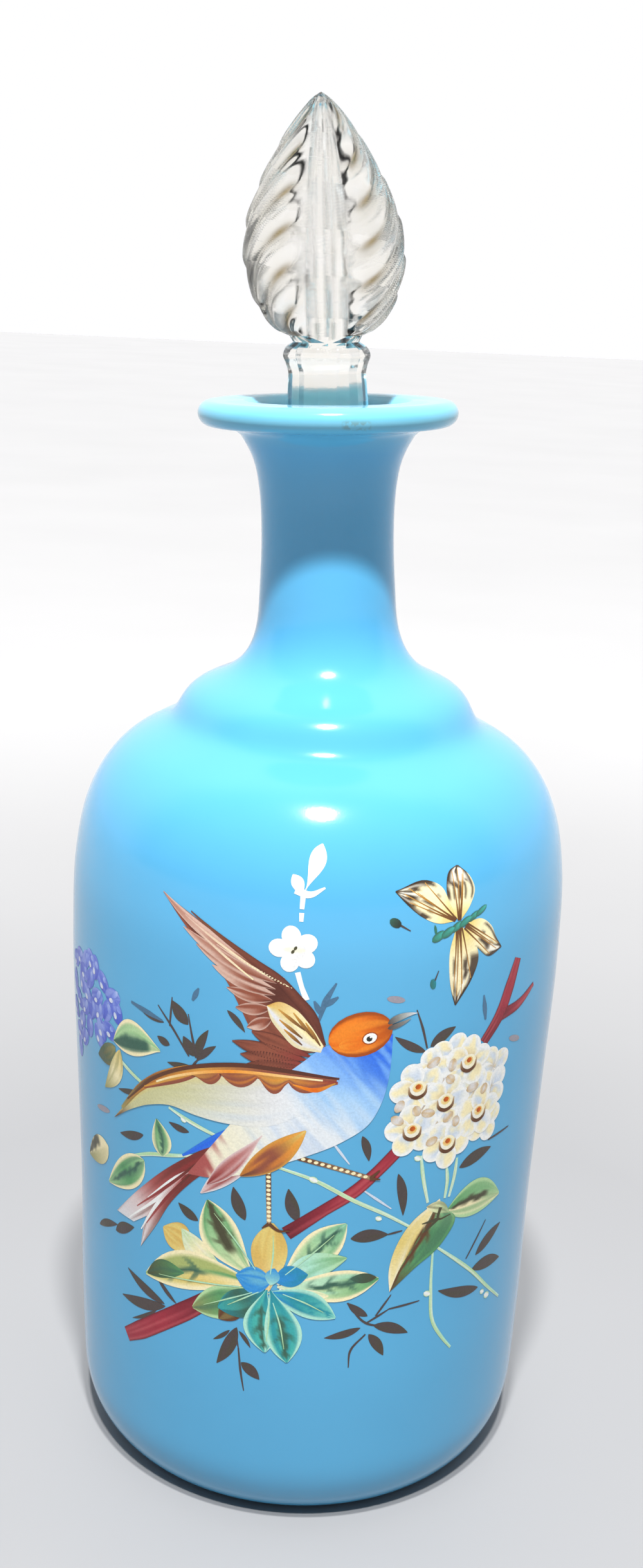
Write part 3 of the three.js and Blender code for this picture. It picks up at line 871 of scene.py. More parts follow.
# white floret cluster with orange eyes
floretValues = dict(
    roundness=0.94, petalLift=0.35, waveSize=3, waveShare=0.3,
    lilacReach=(-0.2, 0.3), rootShare=0.55, rootReach=(0.1, 0.42), rimReach=(0.55, 0.85),
    plainBloom=dict(petals=4, reach=2.1, size=4.3), plainTurn=(24, 37),
    eyedBloom=dict(petals=5, reach=2.7, size=4.6), eyedTurn=(12, 29),
    gapSize=(2.7, 1.7), gapShrink=0.3, gapTurn=(30, 53),
    ground=[((25.6, 84.6), 17.0, 13.0), ((26.8, 89.6), 11.0, 6.0), ((26.0, 78.4), 14.0, 7.0)],
    plain=[
        (34.0, 87.2), (24.2, 91.8), (20.6, 89.8), (34.2, 83.2), (22.4, 79.4), (33.4, 76.8),
        (29.8, 83.8),
    ],
    eyed=[
        (27.9, 89.8), (18.2, 86.8), (23.8, 83.4), (17.8, 79.0), (25.0, 75.2), (31.4, 79.4),
    ],
    gaps=[(20.8, 91.2), (24.6, 90.0), (24.4, 87.4), (29.4, 84.6), (15.2, 83.9), (18.4, 82.6), (20.6, 81.8),
          (24.7, 80.2), (26.4, 79.0), (15.0, 81.3), (21.8, 76.2), (32.2, 83.6)],
    # each eye from its centre: its ground, a dark arc under it, and its light and orange dabs
    eyeSize=(3.3, 2.9), eyeArc=[(-1.6, 0.5), (-1.25, -1.0), (0.1, -1.7), (1.4, -1.1), (1.7, 0.5)],
    eyeArcWidths=(0.15, 0.6, 0.7, 0.6, 0.15),
    eyeDabs=[(25, (0, 0.2), 1.9, 1.7, brush("cream", "butter", streak="paleOrange")),
             (26, (0.1, 0.35), 1.1, 1.0, brush("darkOrange", "orange"))],
)


def floretPaint(u, v, place, seed):
    # white rim, creamy middle and a shaded root
    w = floretValues
    wave = noise.noise(Vector((v * w["waveSize"], u * w["waveSize"], seed)))
    shake = w["waveShare"] * wave
    colour = blend(tone("cream"), "lilacWhite", ease(wave, *w["lilacReach"]))
    colour = blend(colour, "tan", w["rootShare"] * (1 - ease(u + shake, *w["rootReach"])))
    return blend(colour, "white", ease(max(u, 2 * abs(v - 0.5)) + shake, *w["rimReach"]))


def floret(centre, level, start, petals, reach, size):
    for k in range(petals):
        turn = math.radians(start + 360 * k / petals)
        place = (centre[0] + reach * math.cos(turn), centre[1] + reach * math.sin(turn))
        dab("florets", level + floretValues["petalLift"] * (k % 3), place,
            size, size * floretValues["roundness"], floretPaint, math.degrees(turn))


def paintFlorets():
    v = floretValues
    for centre, long, short in v["ground"]:
        dab("florets", 2, centre, long, short, brush("chalk", streak="tan", share=0.6, lines=9))
    start, step = v["plainTurn"]
    for i, centre in enumerate(v["plain"]):
        floret(centre, 4 + i, start + step * i, **v["plainBloom"])
    start, step = v["eyedTurn"]
    for i, centre in enumerate(v["eyed"]):
        floret(centre, 12 + 1.2 * i, start + step * i, **v["eyedBloom"])
    start, step = v["gapTurn"]
    long, short = v["gapSize"]
    for i, centre in enumerate(v["gaps"]):
        dab("florets", 20 + 0.2 * i, centre, long - v["gapShrink"] * (i % 3), short,
            brush("tan", "chalk", "tan", streak="ochre", share=0.4, lines=3), start + step * i)
    for arc, height in v["eyed"]:
        dab("florets", 23, (arc, height), *v["eyeSize"],
            brush("white", "cream", streak="chalk", share=0.3))
        stroke("florets", 24, [(arc + x, height + y) for x, y in v["eyeArc"]], v["eyeArcWidths"],
               brush("tan", "umber", "umber", "tan"))
        for level, (x, y), long, short, paint in v["eyeDabs"]:
            dab("florets", level, (arc + x, height + y), long, short, paint)


# bird: long far wing, tail, body, near wing, head and legs
birdValues = dict(
    farWing=(
        outline((-26.6, 117.6), (-20.0, 114.9), (-15.0, 112.5), (-9.3, 109.3), (-5.0, 106.8), (-1.8, 103.6),
                (0.2, 101.2), (2.3, 95.5)),
        outline((-26.6, 117.6), (-21.6, 113.0), (-17.0, 108.8), (-13.6, 104.6), (-11.6, 101.0), (-9.4, 97.2),
                (-4.0, 94.0), (1.8, 94.6))),
    wingFeathers=[  # base, tip, width, from the wing's outer end
        ((-4.6, 107.0), (-26.8, 117.8), 2.0), ((-5.4, 106.0), (-22.2, 113.0), 2.0),
        ((-6.0, 105.0), (-19.6, 110.6), 2.1), ((-6.0, 104.0), (-16.6, 107.6), 2.2),
        ((-6.4, 103.0), (-14.0, 104.2), 2.2), ((-6.6, 101.6), (-12.4, 101.0), 2.2),
        ((-6.4, 99.8), (-10.4, 97.8), 2.2),
    ],
    russetTips=3,  # so many feathers at the wing's root end in russet, the others in pale
    featherStep=0.7, featherBend=0.03, featherWidest=0.5, rootFeatherWidth=2.7, rootFeatherWidest=0.6,
    quillWidths=(0.15, 0.45, 0.2), patchLineWidths=(0.2, 0.7, 0.2),
    tailLightWidths=(0.3, 0.7, 0.2), tailDarkWidths=(0.4, 0.6, 0.2),
    quills=[
        ((-22.0, 115.0), (-8.0, 107.4)), ((-16.0, 111.2), (-3.4, 105.4)), ((-20.0, 113.2), (-9.6, 106.2)),
    ],
    darkEdge=(
        outline((-21.0, 115.9), (-9.3, 109.8), (-5.0, 107.3), (-1.8, 104.1), (0.5, 101.4), (2.4, 95.8)),
        outline((-21.0, 115.7), (-9.6, 108.6), (-5.6, 105.8), (-3.2, 103.0), (-1.0, 100.4), (1.9, 95.8))),
    rootFeathers=[((0.6, 93.4), (-9.6, 97.2)), ((0.4, 92.8), (-12.8, 95.0)), ((0.2, 92.0), (-11.4, 92.9)),
                  ((0.4, 91.2), (-10.4, 91.2))],
    creamPatch=(
        outline((-7.3, 102.0), (-5.4, 102.9), (-2.8, 101.9), (-0.4, 99.4), (2.0, 95.6)),
        outline((-7.3, 102.0), (-6.6, 99.8), (-4.8, 97.4), (-2.6, 95.2), (1.6, 94.4))),
    patchLines=[((-5.4, 101.6), (-1.0, 98.2)), ((-3.0, 101.2), (0.4, 96.8)), ((-5.2, 99.8), (-1.4, 96.8)),
                ((-4.4, 98.2), (-1.4, 95.6)), ((-1.0, 99.6), (1.5, 95.6))],
    tail=[
        (outline((-11.6, 77.6), (-17.6, 73.8), (-24.0, 68.8), (-31.2, 61.8), (-38.4, 54.0)),
         outline((-13.0, 74.0), (-19.6, 68.4), (-24.4, 63.0), (-28.4, 58.0), (-33.4, 54.0))),
        (outline((-13.0, 75.4), (-20.6, 68.8), (-26.6, 61.4), (-30.2, 56.0), (-31.6, 49.8)),
         outline((-13.6, 72.6), (-19.6, 67.2), (-24.6, 61.0), (-27.6, 55.8), (-31.6, 49.8))),
    ],
    flank=[(10, [(-9.4, 79.8), (-15.0, 76.4), (-21.8, 71.4)], (2.4, 1.9, 0.4),
            brush("cobalt", streak="skyBlue"))],
    # level, base, tip, width, bend, widest, paint of the feathers under and over the body
    underFeathers=[
        (10, (-5.6, 79.6), (-18.2, 65.2), 3.8, 0.02, 0.55,
         brush("white", "redFeather", "rosyWhite", rim="chalk", streak="redBrown", share=0.6, lines=4)),
        (11, (-3.0, 79.0), (-13.6, 70.0), 3.2, 0.0, 0.5, brush("white", "chalk", streak="lilacWhite")),
    ],
    overFeathers=[
        (15, (-7.4, 78.4), (-17.0, 67.2), 3.0, 0.02, 0.6,
         brush("rosyWhite", "redFeather", "redBrown", rim="rosyWhite", streak="rosyWhite",
               share=0.6, lines=4)),
        (16, (-0.2, 80.0), (-11.0, 70.2), 4.6, 0.03, 0.5,
         brush("butter", "ochre", "russet", "russet", "umber", streak="paleOrange", share=0.6, lines=4,
               rim="ochre", rimWidth=0.1)),
    ],
    tailLights=[[(-20.0, 69.6), (-27.0, 61.4), (-34.6, 54.4)], [(-22.0, 66.6), (-27.4, 60.0), (-31.4, 53.4)],
                [(-16.6, 71.6), (-23.0, 66.8), (-29.6, 60.4)]],
    tailDarks=[[(-18.0, 71.6), (-25.0, 64.4), (-32.4, 57.6)], [(-19.6, 69.0), (-25.4, 61.8), (-30.0, 55.2)]],
    body=(
        outline((-20.6, 68.6), (-17.2, 73.4), (-13.6, 78.6), (-9.7, 84.0), (-5.0, 89.0), (-1.4, 92.4),
                (2.9, 95.8), (7.4, 96.0), (11.4, 96.6), (13.2, 97.4)),
        outline((-20.6, 68.2), (-15.6, 68.8), (-11.0, 70.4), (-5.0, 73.0), (0.0, 75.2), (5.7, 77.9),
                (10.2, 81.2), (12.2, 85.4), (13.0, 89.6), (13.2, 97.2))),
    nearWing=(
        outline((-38.6, 72.4), (-32.9, 78.9), (-30.0, 82.5), (-26.4, 85.2), (-21.4, 88.0), (-16.4, 89.8),
                (-10.7, 90.9), (-5.0, 90.9), (0.0, 90.7), (5.2, 89.6)),
        outline((-38.6, 72.4), (-33.6, 76.1), (-28.6, 78.9), (-24.3, 80.2), (-19.3, 79.8), (-13.0, 79.6),
                (-6.0, 80.4), (-0.6, 83.4), (5.2, 89.4))),
    wingBrow=([(-36.0, 75.4), (-30.2, 82.0), (-26.4, 84.8), (-21.4, 87.4), (-16.4, 89.0), (-10.7, 90.1),
               (-4.0, 90.0), (4.4, 89.4)], (0.7, 1.5, 2.0, 2.0, 1.9, 1.8, 1.8, 0.6)),
    browLine=([(-34.4, 77.8), (-26.4, 85.2), (-21.4, 88.0), (-16.4, 89.8), (-10.7, 90.9), (-4.0, 90.8),
               (4.8, 89.7)], (0.3, 0.6, 0.7, 0.8, 0.8, 0.8, 0.4)),
    scallopLine=[(-30.0, 82.0), (-23.4, 85.9), (-16.4, 88.6), (-10.7, 89.7), (-4.0, 89.8), (4.6, 89.2)],
    scallopSteps=14, scallopEdge=0.5, scallopPower=0.7,
    glintStart=6, glintStep=5, glintWidths=(0.3, 0.5, 0.55, 0.5, 0.3),
    scallops=[  # where each begins, its depth
        (-30.0, 0.4), (-19.0, 1.3), (-14.4, 2.3), (-8.2, 2.4), (-3.6, 3.5), (4.6, 0.3),
    ],
    wingGleam=[(20.5, [(-2.6, 88.4), (1.2, 87.6), (4.2, 88.9)], (0.2, 0.9, 0.2),
                brush("paleOrange", "orange", "ochre"))],
    head=[  # level, centre, length, width, turn, paint; the last four are the eye, from its rim to its gleam
        (17, (7.9, 97.6), 10.6, 7.8, 15,
         brush("orange", "orange", "darkOrange", streak="paleOrange", share=0.6, lines=5,
               rim="darkOrange", rimWidth=0.1)),
        (18, (6.6, 96.0), 4.4, 2.6, 10, brush("paleOrange", "orange", streak="orange")),
        (19, (9.4, 96.9), 2.7, 2.2, 20, brush("darkOrange")),
        (20, (9.4, 96.9), 2.3, 1.8, 20, brush("white")),
        (21, (9.3, 96.8), 1.0, 1.0, 0, brush("ink")),
        (22, (9.5, 97.1), 0.35, 0.35, 0, brush("white")),
    ],
    beak=[
        (19, (12.2, 99.3), (17.2, 100.7), 1.2, 0.08, 0.3, brush("shade", "beak", "chalk")),
        (18, (12.2, 98.4), (16.2, 99.9), 0.9, -0.04, 0.3, brush("shade", "beak")),
    ],
    legs=[[(-6.2, 72.4), (-6.0, 66.8), (-5.8, 61.6)], [(-2.6, 75.2), (4.0, 73.4), (11.2, 70.8)]],
    legWidths=(0.95, 0.9, 0.8), legSteps=13, legRing=(0.8, 0.6), toeWidths=(0.7, 0.5, 0.2),
    toes=[[(-5.8, 61.8), (-4.0, 60.6), (-2.2, 60.8)], [(-5.8, 61.8), (-7.0, 60.8)],
          [(11.0, 70.8), (12.6, 72.2)], [(11.0, 70.8), (12.8, 70.4)]],
)


def paintFarWing():
    v = birdValues
    layBand("bird", 6, v["farWing"], brush("featherPale", "russet", "darkRusset", "russet", half="russet",
                                           streak="darkRusset", share=0.7, lines=9))
    for i, (base, tip, width) in enumerate(v["wingFeathers"][::-1]):
        leaf("bird", 7 + i * v["featherStep"], base, tip, width,
             brush("darkRusset", "russet", "featherPale", "featherPale",
                   half="russet" if i < v["russetTips"] else "featherPale", rim="featherPale", rimWidth=0.1,
                   streak="russet", share=0.6, lines=3), v["featherBend"], v["featherWidest"])
    for line in v["quills"]:
        stroke("bird", 12.4, line, v["quillWidths"], brush("featherPale", "cream"))
    layBand("bird", 12.5, v["darkEdge"],
            brush("umber", "darkRusset", "darkRusset", streak="russet", share=0.5))
    for base, tip in v["rootFeathers"]:
        leaf("bird", 13, base, tip, v["rootFeatherWidth"],
             brush("redBrown", "russet", "russet", rim="darkRusset", rimWidth=0.1,
                   streak="darkRusset", lines=3), widest=v["rootFeatherWidest"])
    layBand("bird", 14, v["creamPatch"], brush("ochre", "cream", "cream", half="chalk", streak="butter"))
    for line in v["patchLines"]:
        stroke("bird", 15, line, v["patchLineWidths"], brush("ochre", "umber"))


# reaches are heights and arcs of the changes, shares say how strong each tone gets
bodyTones = dict(
    grainAlong=(0.62, 0.5), grainAcross=0.06, grainPlane=3.0, ledgeSlope=0.75, ledgeShake=5.0,
    lilacLeast=0.35, lilacReach=(-0.2, 0.4), bellyShare=0.35, bellyReach=(66, 78),
    skyShare=0.8, skyReach=(80, 92), throatShare=0.95, throatReach=(89.5, 101.5),
    throatPale=0.6, throatPaleReach=(-0.1, 0.35), flankShare=0.4, flankShake=2, flankReach=(6, 14),
    rumpShake=5, rumpReach=(14.0, 18.5),
)
wingTones = dict(
    grain=(5, 1.6), grainPlane=8.0, oliveReach=(0.0, 0.16), chalkReach=(0.35, 0.8),
    butterShare=0.55, butterShake=0.25, butterReach=(0.1, 0.5), butterFade=(0.6, 0.9),
    whiteShare=0.5, whiteShake=0.3, whiteReach=(0.5, 0.95), whiteStart=(0.2, 0.5),
    lilacShare=0.7, lilacReach=(-0.1, 0.3), lilacStart=(0.3, 0.7), rootSlant=0.1, rootReach=(0.72, 0.95),
)


def bodyPaint(u, v, place, seed):
    # from cobalt at the throat through pale blue and white to the reddish tail; ledge rises to the throat
    w = bodyTones
    x, y = place
    grainX, grainY = w["grainAlong"]
    wave = noise.noise(Vector((x * grainX + y * grainY, (x - y) * w["grainAcross"], w["grainPlane"])))
    ledge = y + w["ledgeSlope"] * x + w["ledgeShake"] * wave
    least = w["lilacLeast"]
    colour = blend(tone("white"), "lilacWhite", least + (1 - least) * ease(wave, *w["lilacReach"]))
    colour = blend(colour, "cream", w["bellyShare"] * (1 - ease(ledge, *w["bellyReach"])))
    colour = blend(colour, "paleSky", w["skyShare"] * ease(ledge, *w["skyReach"]))
    throat = blend(tone("cobalt"), "paleSky", w["throatPale"] * ease(wave, *w["throatPaleReach"]))
    colour = colour.lerp(throat, w["throatShare"] * ease(ledge, *w["throatReach"]))
    colour = blend(colour, "cream", w["flankShare"] * ease(-x + w["flankShake"] * wave, *w["flankReach"]))
    return blend(colour, "redFeather", ease(-x + w["rumpShake"] * wave, *w["rumpReach"]))


def paintTailAndBody():
    v = birdValues
    tailPaint = brush("rosyWhite", "redBrown", "redBrown", "redFeather", "rosyWhite", "chalk",
                      streak="darkRusset", share=0.4, lines=5)
    for i, edges in enumerate(v["tail"]):
        layBand("bird", 8 + i, edges, tailPaint)
    for points in v["tailLights"]:
        stroke("bird", 10, points, v["tailLightWidths"], brush("redFeather", "white", "white"))
    for points in v["tailDarks"]:
        stroke("bird", 11, points, v["tailDarkWidths"], brush("darkRusset", "redBrown", "redFeather"))
    layStrokes("bird", v["flank"])
    layLeaves("bird", v["underFeathers"])
    layBand("bird", 13.5, v["body"], bodyPaint)
    layLeaves("bird", v["overFeathers"])


def nearWingPaint(u, v, place, seed):
    w = wingTones
    wave = noise.noise(Vector((v * w["grain"][0], u * w["grain"][1], w["grainPlane"])))
    colour = blend(tone("umber"), "paleOlive", ease(u, *w["oliveReach"]))
    colour = blend(colour, "chalk", ease(u, *w["chalkReach"]))
    share = w["butterShare"] * (1 - ease(v + w["butterShake"] * wave, *w["butterReach"]))
    colour = blend(colour, "butter", share * (1 - ease(u, *w["butterFade"])))
    share = w["whiteShare"] * ease(v + w["whiteShake"] * wave, *w["whiteReach"])
    colour = blend(colour, "white", share * ease(u, *w["whiteStart"]))
    share = w["lilacShare"] * ease(-wave, *w["lilacReach"])
    colour = blend(colour, "lilacWhite", share * ease(u, *w["lilacStart"]))
    # the wing melts into the body at its root
    return colour.lerp(bodyPaint(u, v, place, seed), ease(u + w["rootSlant"] * v, *w["rootReach"]))


def paintNearWing():
    v = birdValues
    layBand("bird", 17, v["nearWing"], nearWingPaint)
    stroke("bird", 18, *v["wingBrow"],
           brush("olive", "umber", "ochre", "russet", "russet", streak="paleOrange", share=0.6, lines=3))
    stroke("bird", 19, *v["browLine"], brush("umber", "darkRusset"))
    upperLine, lowerLine = curveThrough(v["scallopLine"], v["scallopSteps"]), []
    scallops = v["scallops"]
    for place in upperLine:
        k = max((i for i in range(len(scallops)) if scallops[i][0] <= place.x), default=0)
        near, far = scallops[k], scallops[min(k + 1, len(scallops) - 1)]
        share = min(max((place.x - near[0]) / max(far[0] - near[0], 1e-3), 0), 1)
        depth = mix(near[1], far[1], share) * math.sin(math.pi * share) ** v["scallopPower"]
        lowerLine.append(place - Vector((0, v["scallopEdge"] + depth)))
    layBand("bird", 19.5, (upperLine, lowerLine),
            brush("ochre", "ochre", "russet", "ochre", "redBrown", half="russet", streak="paleOrange",
                  share=0.6, lines=5))
    stroke("bird", 20, upperLine[v["glintStart"]::v["glintStep"]], v["glintWidths"],
           brush("cream", "paleOrange", "cream"))
    layStrokes("bird", v["wingGleam"])


def paintHeadAndLegs():
    v = birdValues
    layDabs("bird", v["head"])
    layLeaves("bird", v["beak"])
    for points in v["legs"]:
        stroke("bird", 6, points, v["legWidths"], brush("umber", "tan", streak="umber", share=0.8))
        for place in spaced(outline(*points), v["legSteps"])[1:-1]:
            dab("bird", 7, place, *v["legRing"], brush("cream"))
    for points in v["toes"]:
        stroke("bird", 28, points, v["toeWidths"], brush("umber"))


# butterfly
butterflyValues = dict(
    wings=[  # both edges, veins, where the dark tip starts
        (outline((23.4, 115.6), (20.4, 115.6), (17.4, 117.0), (14.8, 119.2), (12.8, 121.3)),
         outline((23.8, 115.9), (22.6, 118.6), (21.0, 121.6), (18.4, 122.8), (12.8, 121.5)), 5, 0.62),
        (outline((24.1, 115.6), (22.4, 118.6), (22.0, 121.0), (22.8, 123.8), (24.4, 124.5)),
         outline((24.6, 115.6), (26.6, 117.8), (27.7, 120.4), (26.8, 122.6), (24.8, 124.4)), 4, 0.66),
        (outline((23.6, 114.2), (22.6, 111.0), (22.6, 107.0), (23.2, 103.6), (24.1, 100.9)),
         outline((24.9, 114.4), (27.2, 112.0), (28.4, 108.4), (27.4, 105.4), (24.3, 100.9)), 5, 0.72),
        (outline((25.2, 114.0), (26.4, 111.8), (28.4, 110.0), (30.6, 108.3), (33.6, 109.2)),
         outline((26.0, 115.0), (28.8, 115.2), (31.2, 113.4), (32.2, 111.4), (33.6, 109.4)), 4, 0.68),
    ],
    veinWidths=(0.35, 0.22, 0.12), veinEnds=(0.74, 0.84), bodyStart=20.4, bodyStep=1.7,
    bodyHeights=(113.45, 113.9, 114.6, 115.2, 115.8, 116.5), bodySize=(2.8, 1.5), bodyShrink=0.1,
    bodyTurn=30,
    tail=(7, (19.8, 114.6), 1.8, 0.5, 100, brush("wingGreen")),
    # two small buds beside it
    buds=[(7, (12.8, 116.4), 2.2, 1.5, -30, brush("deepGreen", "ink")),
          (7, (19.7, 105.4), 1.1, 1.9, 10, brush("deepGreen", "teal"))],
    budStems=[(7, [(13.6, 116.0), (15.4, 114.9)], (0.35, 0.15), brush("shade")),
              (7, [(20.0, 106.0), (20.6, 107.6)], (0.3, 0.15), brush("shade"))],
    # how its wing colours change along and across
    grain=(9, 2.5), creamReach=(0.02, 0.4), whiteShare=0.7, whiteReach=(0.4, 0.75), whiteGrain=(-0.2, 0.2),
    tipShake=0.34, tipSoft=(-0.1, 0.04), innerReach=(0.06, 0.24), innerGrain=(-0.1, 0.1),
    innerFade=(0.9, 0.98), blotchGrain=(0.08, 0.18), blotchStart=(0.34, 0.44), blotchEnd=(0.62, 0.7),
    blotchShare=0.9, inkWarmth=0.4,
)


def wingPaintTo(tipStart):
    w = butterflyValues
    dark = blend(tone("ink"), "umber", w["inkWarmth"])
    tipReach = [tipStart + soft for soft in w["tipSoft"]]

    def colourAt(u, v, place, seed):
        wave = noise.noise(Vector((v * w["grain"][0], u * w["grain"][1], seed)))
        colour = blend(tone("butter"), "cream", ease(u, *w["creamReach"]))
        whiteness = ease(u, *w["whiteReach"]) * ease(wave, *w["whiteGrain"])
        colour = blend(colour, "white", w["whiteShare"] * whiteness)
        inner = ease(min(v, 1 - v), *w["innerReach"]) * ease(wave, *w["innerGrain"])
        margin = ease(u + w["tipShake"] * wave, *tipReach) * (1 - inner * (1 - ease(u, *w["innerFade"])))
        blotch = ease(wave, *w["blotchGrain"]) * ease(u, *w["blotchStart"]) * (1 - ease(u, *w["blotchEnd"]))
        return colour.lerp(dark, max(margin, w["blotchShare"] * blotch))
    return colourAt


def paintButterfly():
    v = butterflyValues
    for first, second, veins, tipStart in v["wings"]:
        layBand("butterfly", 4, (first, second), wingPaintTo(tipStart))
        for k in range(veins):
            share = (k + 0.5) / veins
            near = first[0].lerp(second[0], share)
            row = int(len(first) * v["veinEnds"][k % 2])
            far = first[row].lerp(second[row], share)
            stroke("butterfly", 5, [near, near.lerp(far, 0.5), far], v["veinWidths"], brush("umber", "ochre"))
    long, short = v["bodySize"]
    for i, height in enumerate(v["bodyHeights"]):
        centre = (v["bodyStart"] + v["bodyStep"] * i, height)
        dab("butterfly", 8 + i % 2, centre, long, short - v["bodyShrink"] * i,
            brush("wingGreen", "aqua", streak="deepGreen", share=0.7, rim="deepGreen", rimWidth=0.1),
            v["bodyTurn"])
    layDabs("butterfly", [v["tail"]])
    for bud, budStem in zip(v["buds"], v["budStems"]):
        layDabs("butterfly", [bud])
        layStrokes("butterfly", [budStem])


# white flower and buds over the bird
sprigValues = dict(
    heart=(-3.3, 111.9), petalShape=0.9,
    petals=[  # reach, turn, size
        (2.3, 104, 3.5), (2.2, 30, 3.6), (2.2, -38, 3.4), (2.2, -106, 3.3), (2.4, 176, 3.4),
    ],
    heartSize=(3.6, 3.4), dots=[(-3.5, 111.6), (-3.1, 112.2)], dotSize=(0.8, 0.5), dotTurn=60,
    buds=[
        (4, (-2.0, 121.6), (0.5, 128.6), 2.9, -0.02, 0.68, brush("white")),
        (4, (-2.4, 120.6), (-4.2, 123.9), 2.1, -0.05, 0.6, brush("white", "chalk")),
    ],
    stem=([(-2.6, 108.2), (-1.9, 105.8), (-1.0, 103.5)], (0.9, 0.8, 1.0)),
    sepals=[  # points, widths
        ([(-3.6, 121.6), (-1.4, 120.9), (1.2, 122.1)], (1.3, 1.1, 0.3)),
        ([(-2.3, 121.0), (-2.4, 118.6)], (0.9, 0.72)),
        ([(-2.4, 118.0), (-2.4, 116.6)], (0.8, 0.64)),
    ],
)


def paintWhiteSprig():
    v = sprigValues
    arc, height = v["heart"]
    for i, (reach, turn, size) in enumerate(v["petals"]):
        along = math.radians(turn)
        centre = (arc + reach * math.cos(along), height + reach * math.sin(along))
        dab("whiteSprig", 3 + 0.5 * i, centre, size, size * v["petalShape"],
            brush("white", "white", streak="chalk", share=0.5, lines=3), turn)
    dab("whiteSprig", 6, v["heart"], *v["heartSize"],
        brush("white", "chalk", streak="cream", share=0.5, lines=3))
    for place in v["dots"]:
        dab("whiteSprig", 7, place, *v["dotSize"], brush("darkOlive"), v["dotTurn"])
    stroke("whiteSprig", 3, *v["stem"], brush("white"))
    layLeaves("whiteSprig", v["buds"])
    for points, widths in v["sepals"]:
        stroke("whiteSprig", 4, points, widths, brush("white"))


def makeEnamel():
    material, tree, shader = newMaterial("fired enamel")
    look = enamelValues
    surface = placeSurface(tree, look["cloudSize"], look["grainSize"], look["grainShare"])
    paint = addNode(tree, "ShaderNodeAttribute", attribute_name="paint")
    grain = spread(tree, surface.outputs["Grain"], *look["grainShade"])
    bright = addNode(tree, "ShaderNodeVectorMath", operation="SCALE")
    tree.links.new(paint.outputs["Color"], bright.inputs[0])
    tree.links.new(grain, bright.inputs["Scale"])
    tree.links.new(bright.outputs[0], shader.inputs["Base Color"])
    rough = spread(tree, surface.outputs["Cloud"], *look["gloss"])
    tree.links.new(rough, shader.inputs["Roughness"])
    setInputs(shader, IOR=look["refraction"], Specular_IOR_Level=look["specular"])
    addBump(tree, shader, surface.outputs["Height"], look["brushing"], look["brushDepth"])
    return material


for paintPart in (paintShadows, paintBranch, paintFoliage, paintSpike, paintFlorets, paintFarWing,
                  paintTailAndBody, paintNearWing, paintHeadAndLegs, paintButterfly, paintWhiteSprig):
    paintPart()
enamel = makeEnamel()
for name, (vertices, faces, colours) in painting.items():
    piece = newPiece(name, vertices, faces, enamel)
    layer = piece.data.color_attributes.new("paint", "FLOAT_COLOR", "POINT")
    for i, colour in enumerate(colours):
        layer.data[i].color = (*(linear(channel) * enamelValues["strength"] for channel in colour), 1)
    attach(piece, "root")
print("enamel painted:", sum(len(faces) for _, faces, _ in painting.values()), "faces")


# Stopper.
stopperSizes = dict(
    plugGap=0.35, plugChamfer=0.9, plugShort=1, shankSides=12, shankInset=1.55, shankFlare=0.55,
    shankRise=4.6, ringOut=0.8, ringHeight=4, waistIn=1, waistHeight=2,
    leafHeight=38.2, leafWidth=27.4, leafThickness=17,
    lobePitch=6.3, lobeClimb=15.6, lobeDepth=0.9, lobeRoundness=1.8, lobeSweep=0.4, grooveSoftness=0.1,
    fluteDepth=0.24, fluteWidth=0.22, fluteAt=0.36, ribCalm=0.35, calmReach=0.3,
    ribWidth=6.3, ribReach=9.3, ribSlope=0.28, ribFoot=0.3, mostFootShare=0.92, lobeFadeSize=0.73,
    mostRibShare=0.8, leastRibRise=0.1, tipRise=0.2, ribBrownPast=0.4, ribBrownWidth=0.24,
    leafLean=math.radians(1.4), leafTurn=math.radians(3),
    leafShape=[
        (0, 0.453), (0.026, 0.62), (0.079, 0.766), (0.181, 0.912), (0.332, 1), (0.458, 0.964),
        (0.623, 0.796), (0.78, 0.555), (0.893, 0.336), (0.969, 0.146), (1, 0.036)],
    ribReachShape=[
        (-0.157, 0.698), (-0.018, 0.802), (0.089, 0.885), (0.246, 0.979), (0.377, 1),
        (0.586, 0.885), (0.796, 0.615), (0.927, 0.333), (1, 0.052)],
    ribWidthShape=[
        (-0.157, 0.56), (-0.018, 0.984), (0.168, 1), (0.482, 0.889), (0.691, 0.698),
        (0.893, 0.413), (1, 0.095)],
    collarFoot=0.6, tinyAcross=1e-6, rowCrowding=1.08, ribBrownGrooveReach=(0.35, 0.8), sharpAngle=28,
    collarSwell=(0.4, 0.7),  # where the ring stands out halfway and where fully, as shares of its height
    sideSteps=110, roofSteps=4, leafRows=320, plugEdgeSteps=6, plugSteps=8, throatSteps=4,
    collarSteps=5,
)
clearLook = dict(
    # groove is a painted shade: the tint that darkens the glass deep in its grooves
    glass=(0.995, 0.985, 0.965, 1), warm=(0.97, 0.94, 0.86, 1), groove=(0.74, 0.71, 0.62, 1),
    # the first colour on the next line is a dark brown tint for the deeper grooves beside the midrib
    ribBrown=(0.2, 0.13, 0.04, 1), roughness=0.1, refraction=1.44, waviness=0.06, wavesDepth=0.0006,
    cloudSize=160, grainSize=2400, grainShare=0.12,
)
s = stopperSizes
ringCount = 2 * (s["sideSteps"] + 2 * s["roofSteps"] + 2)


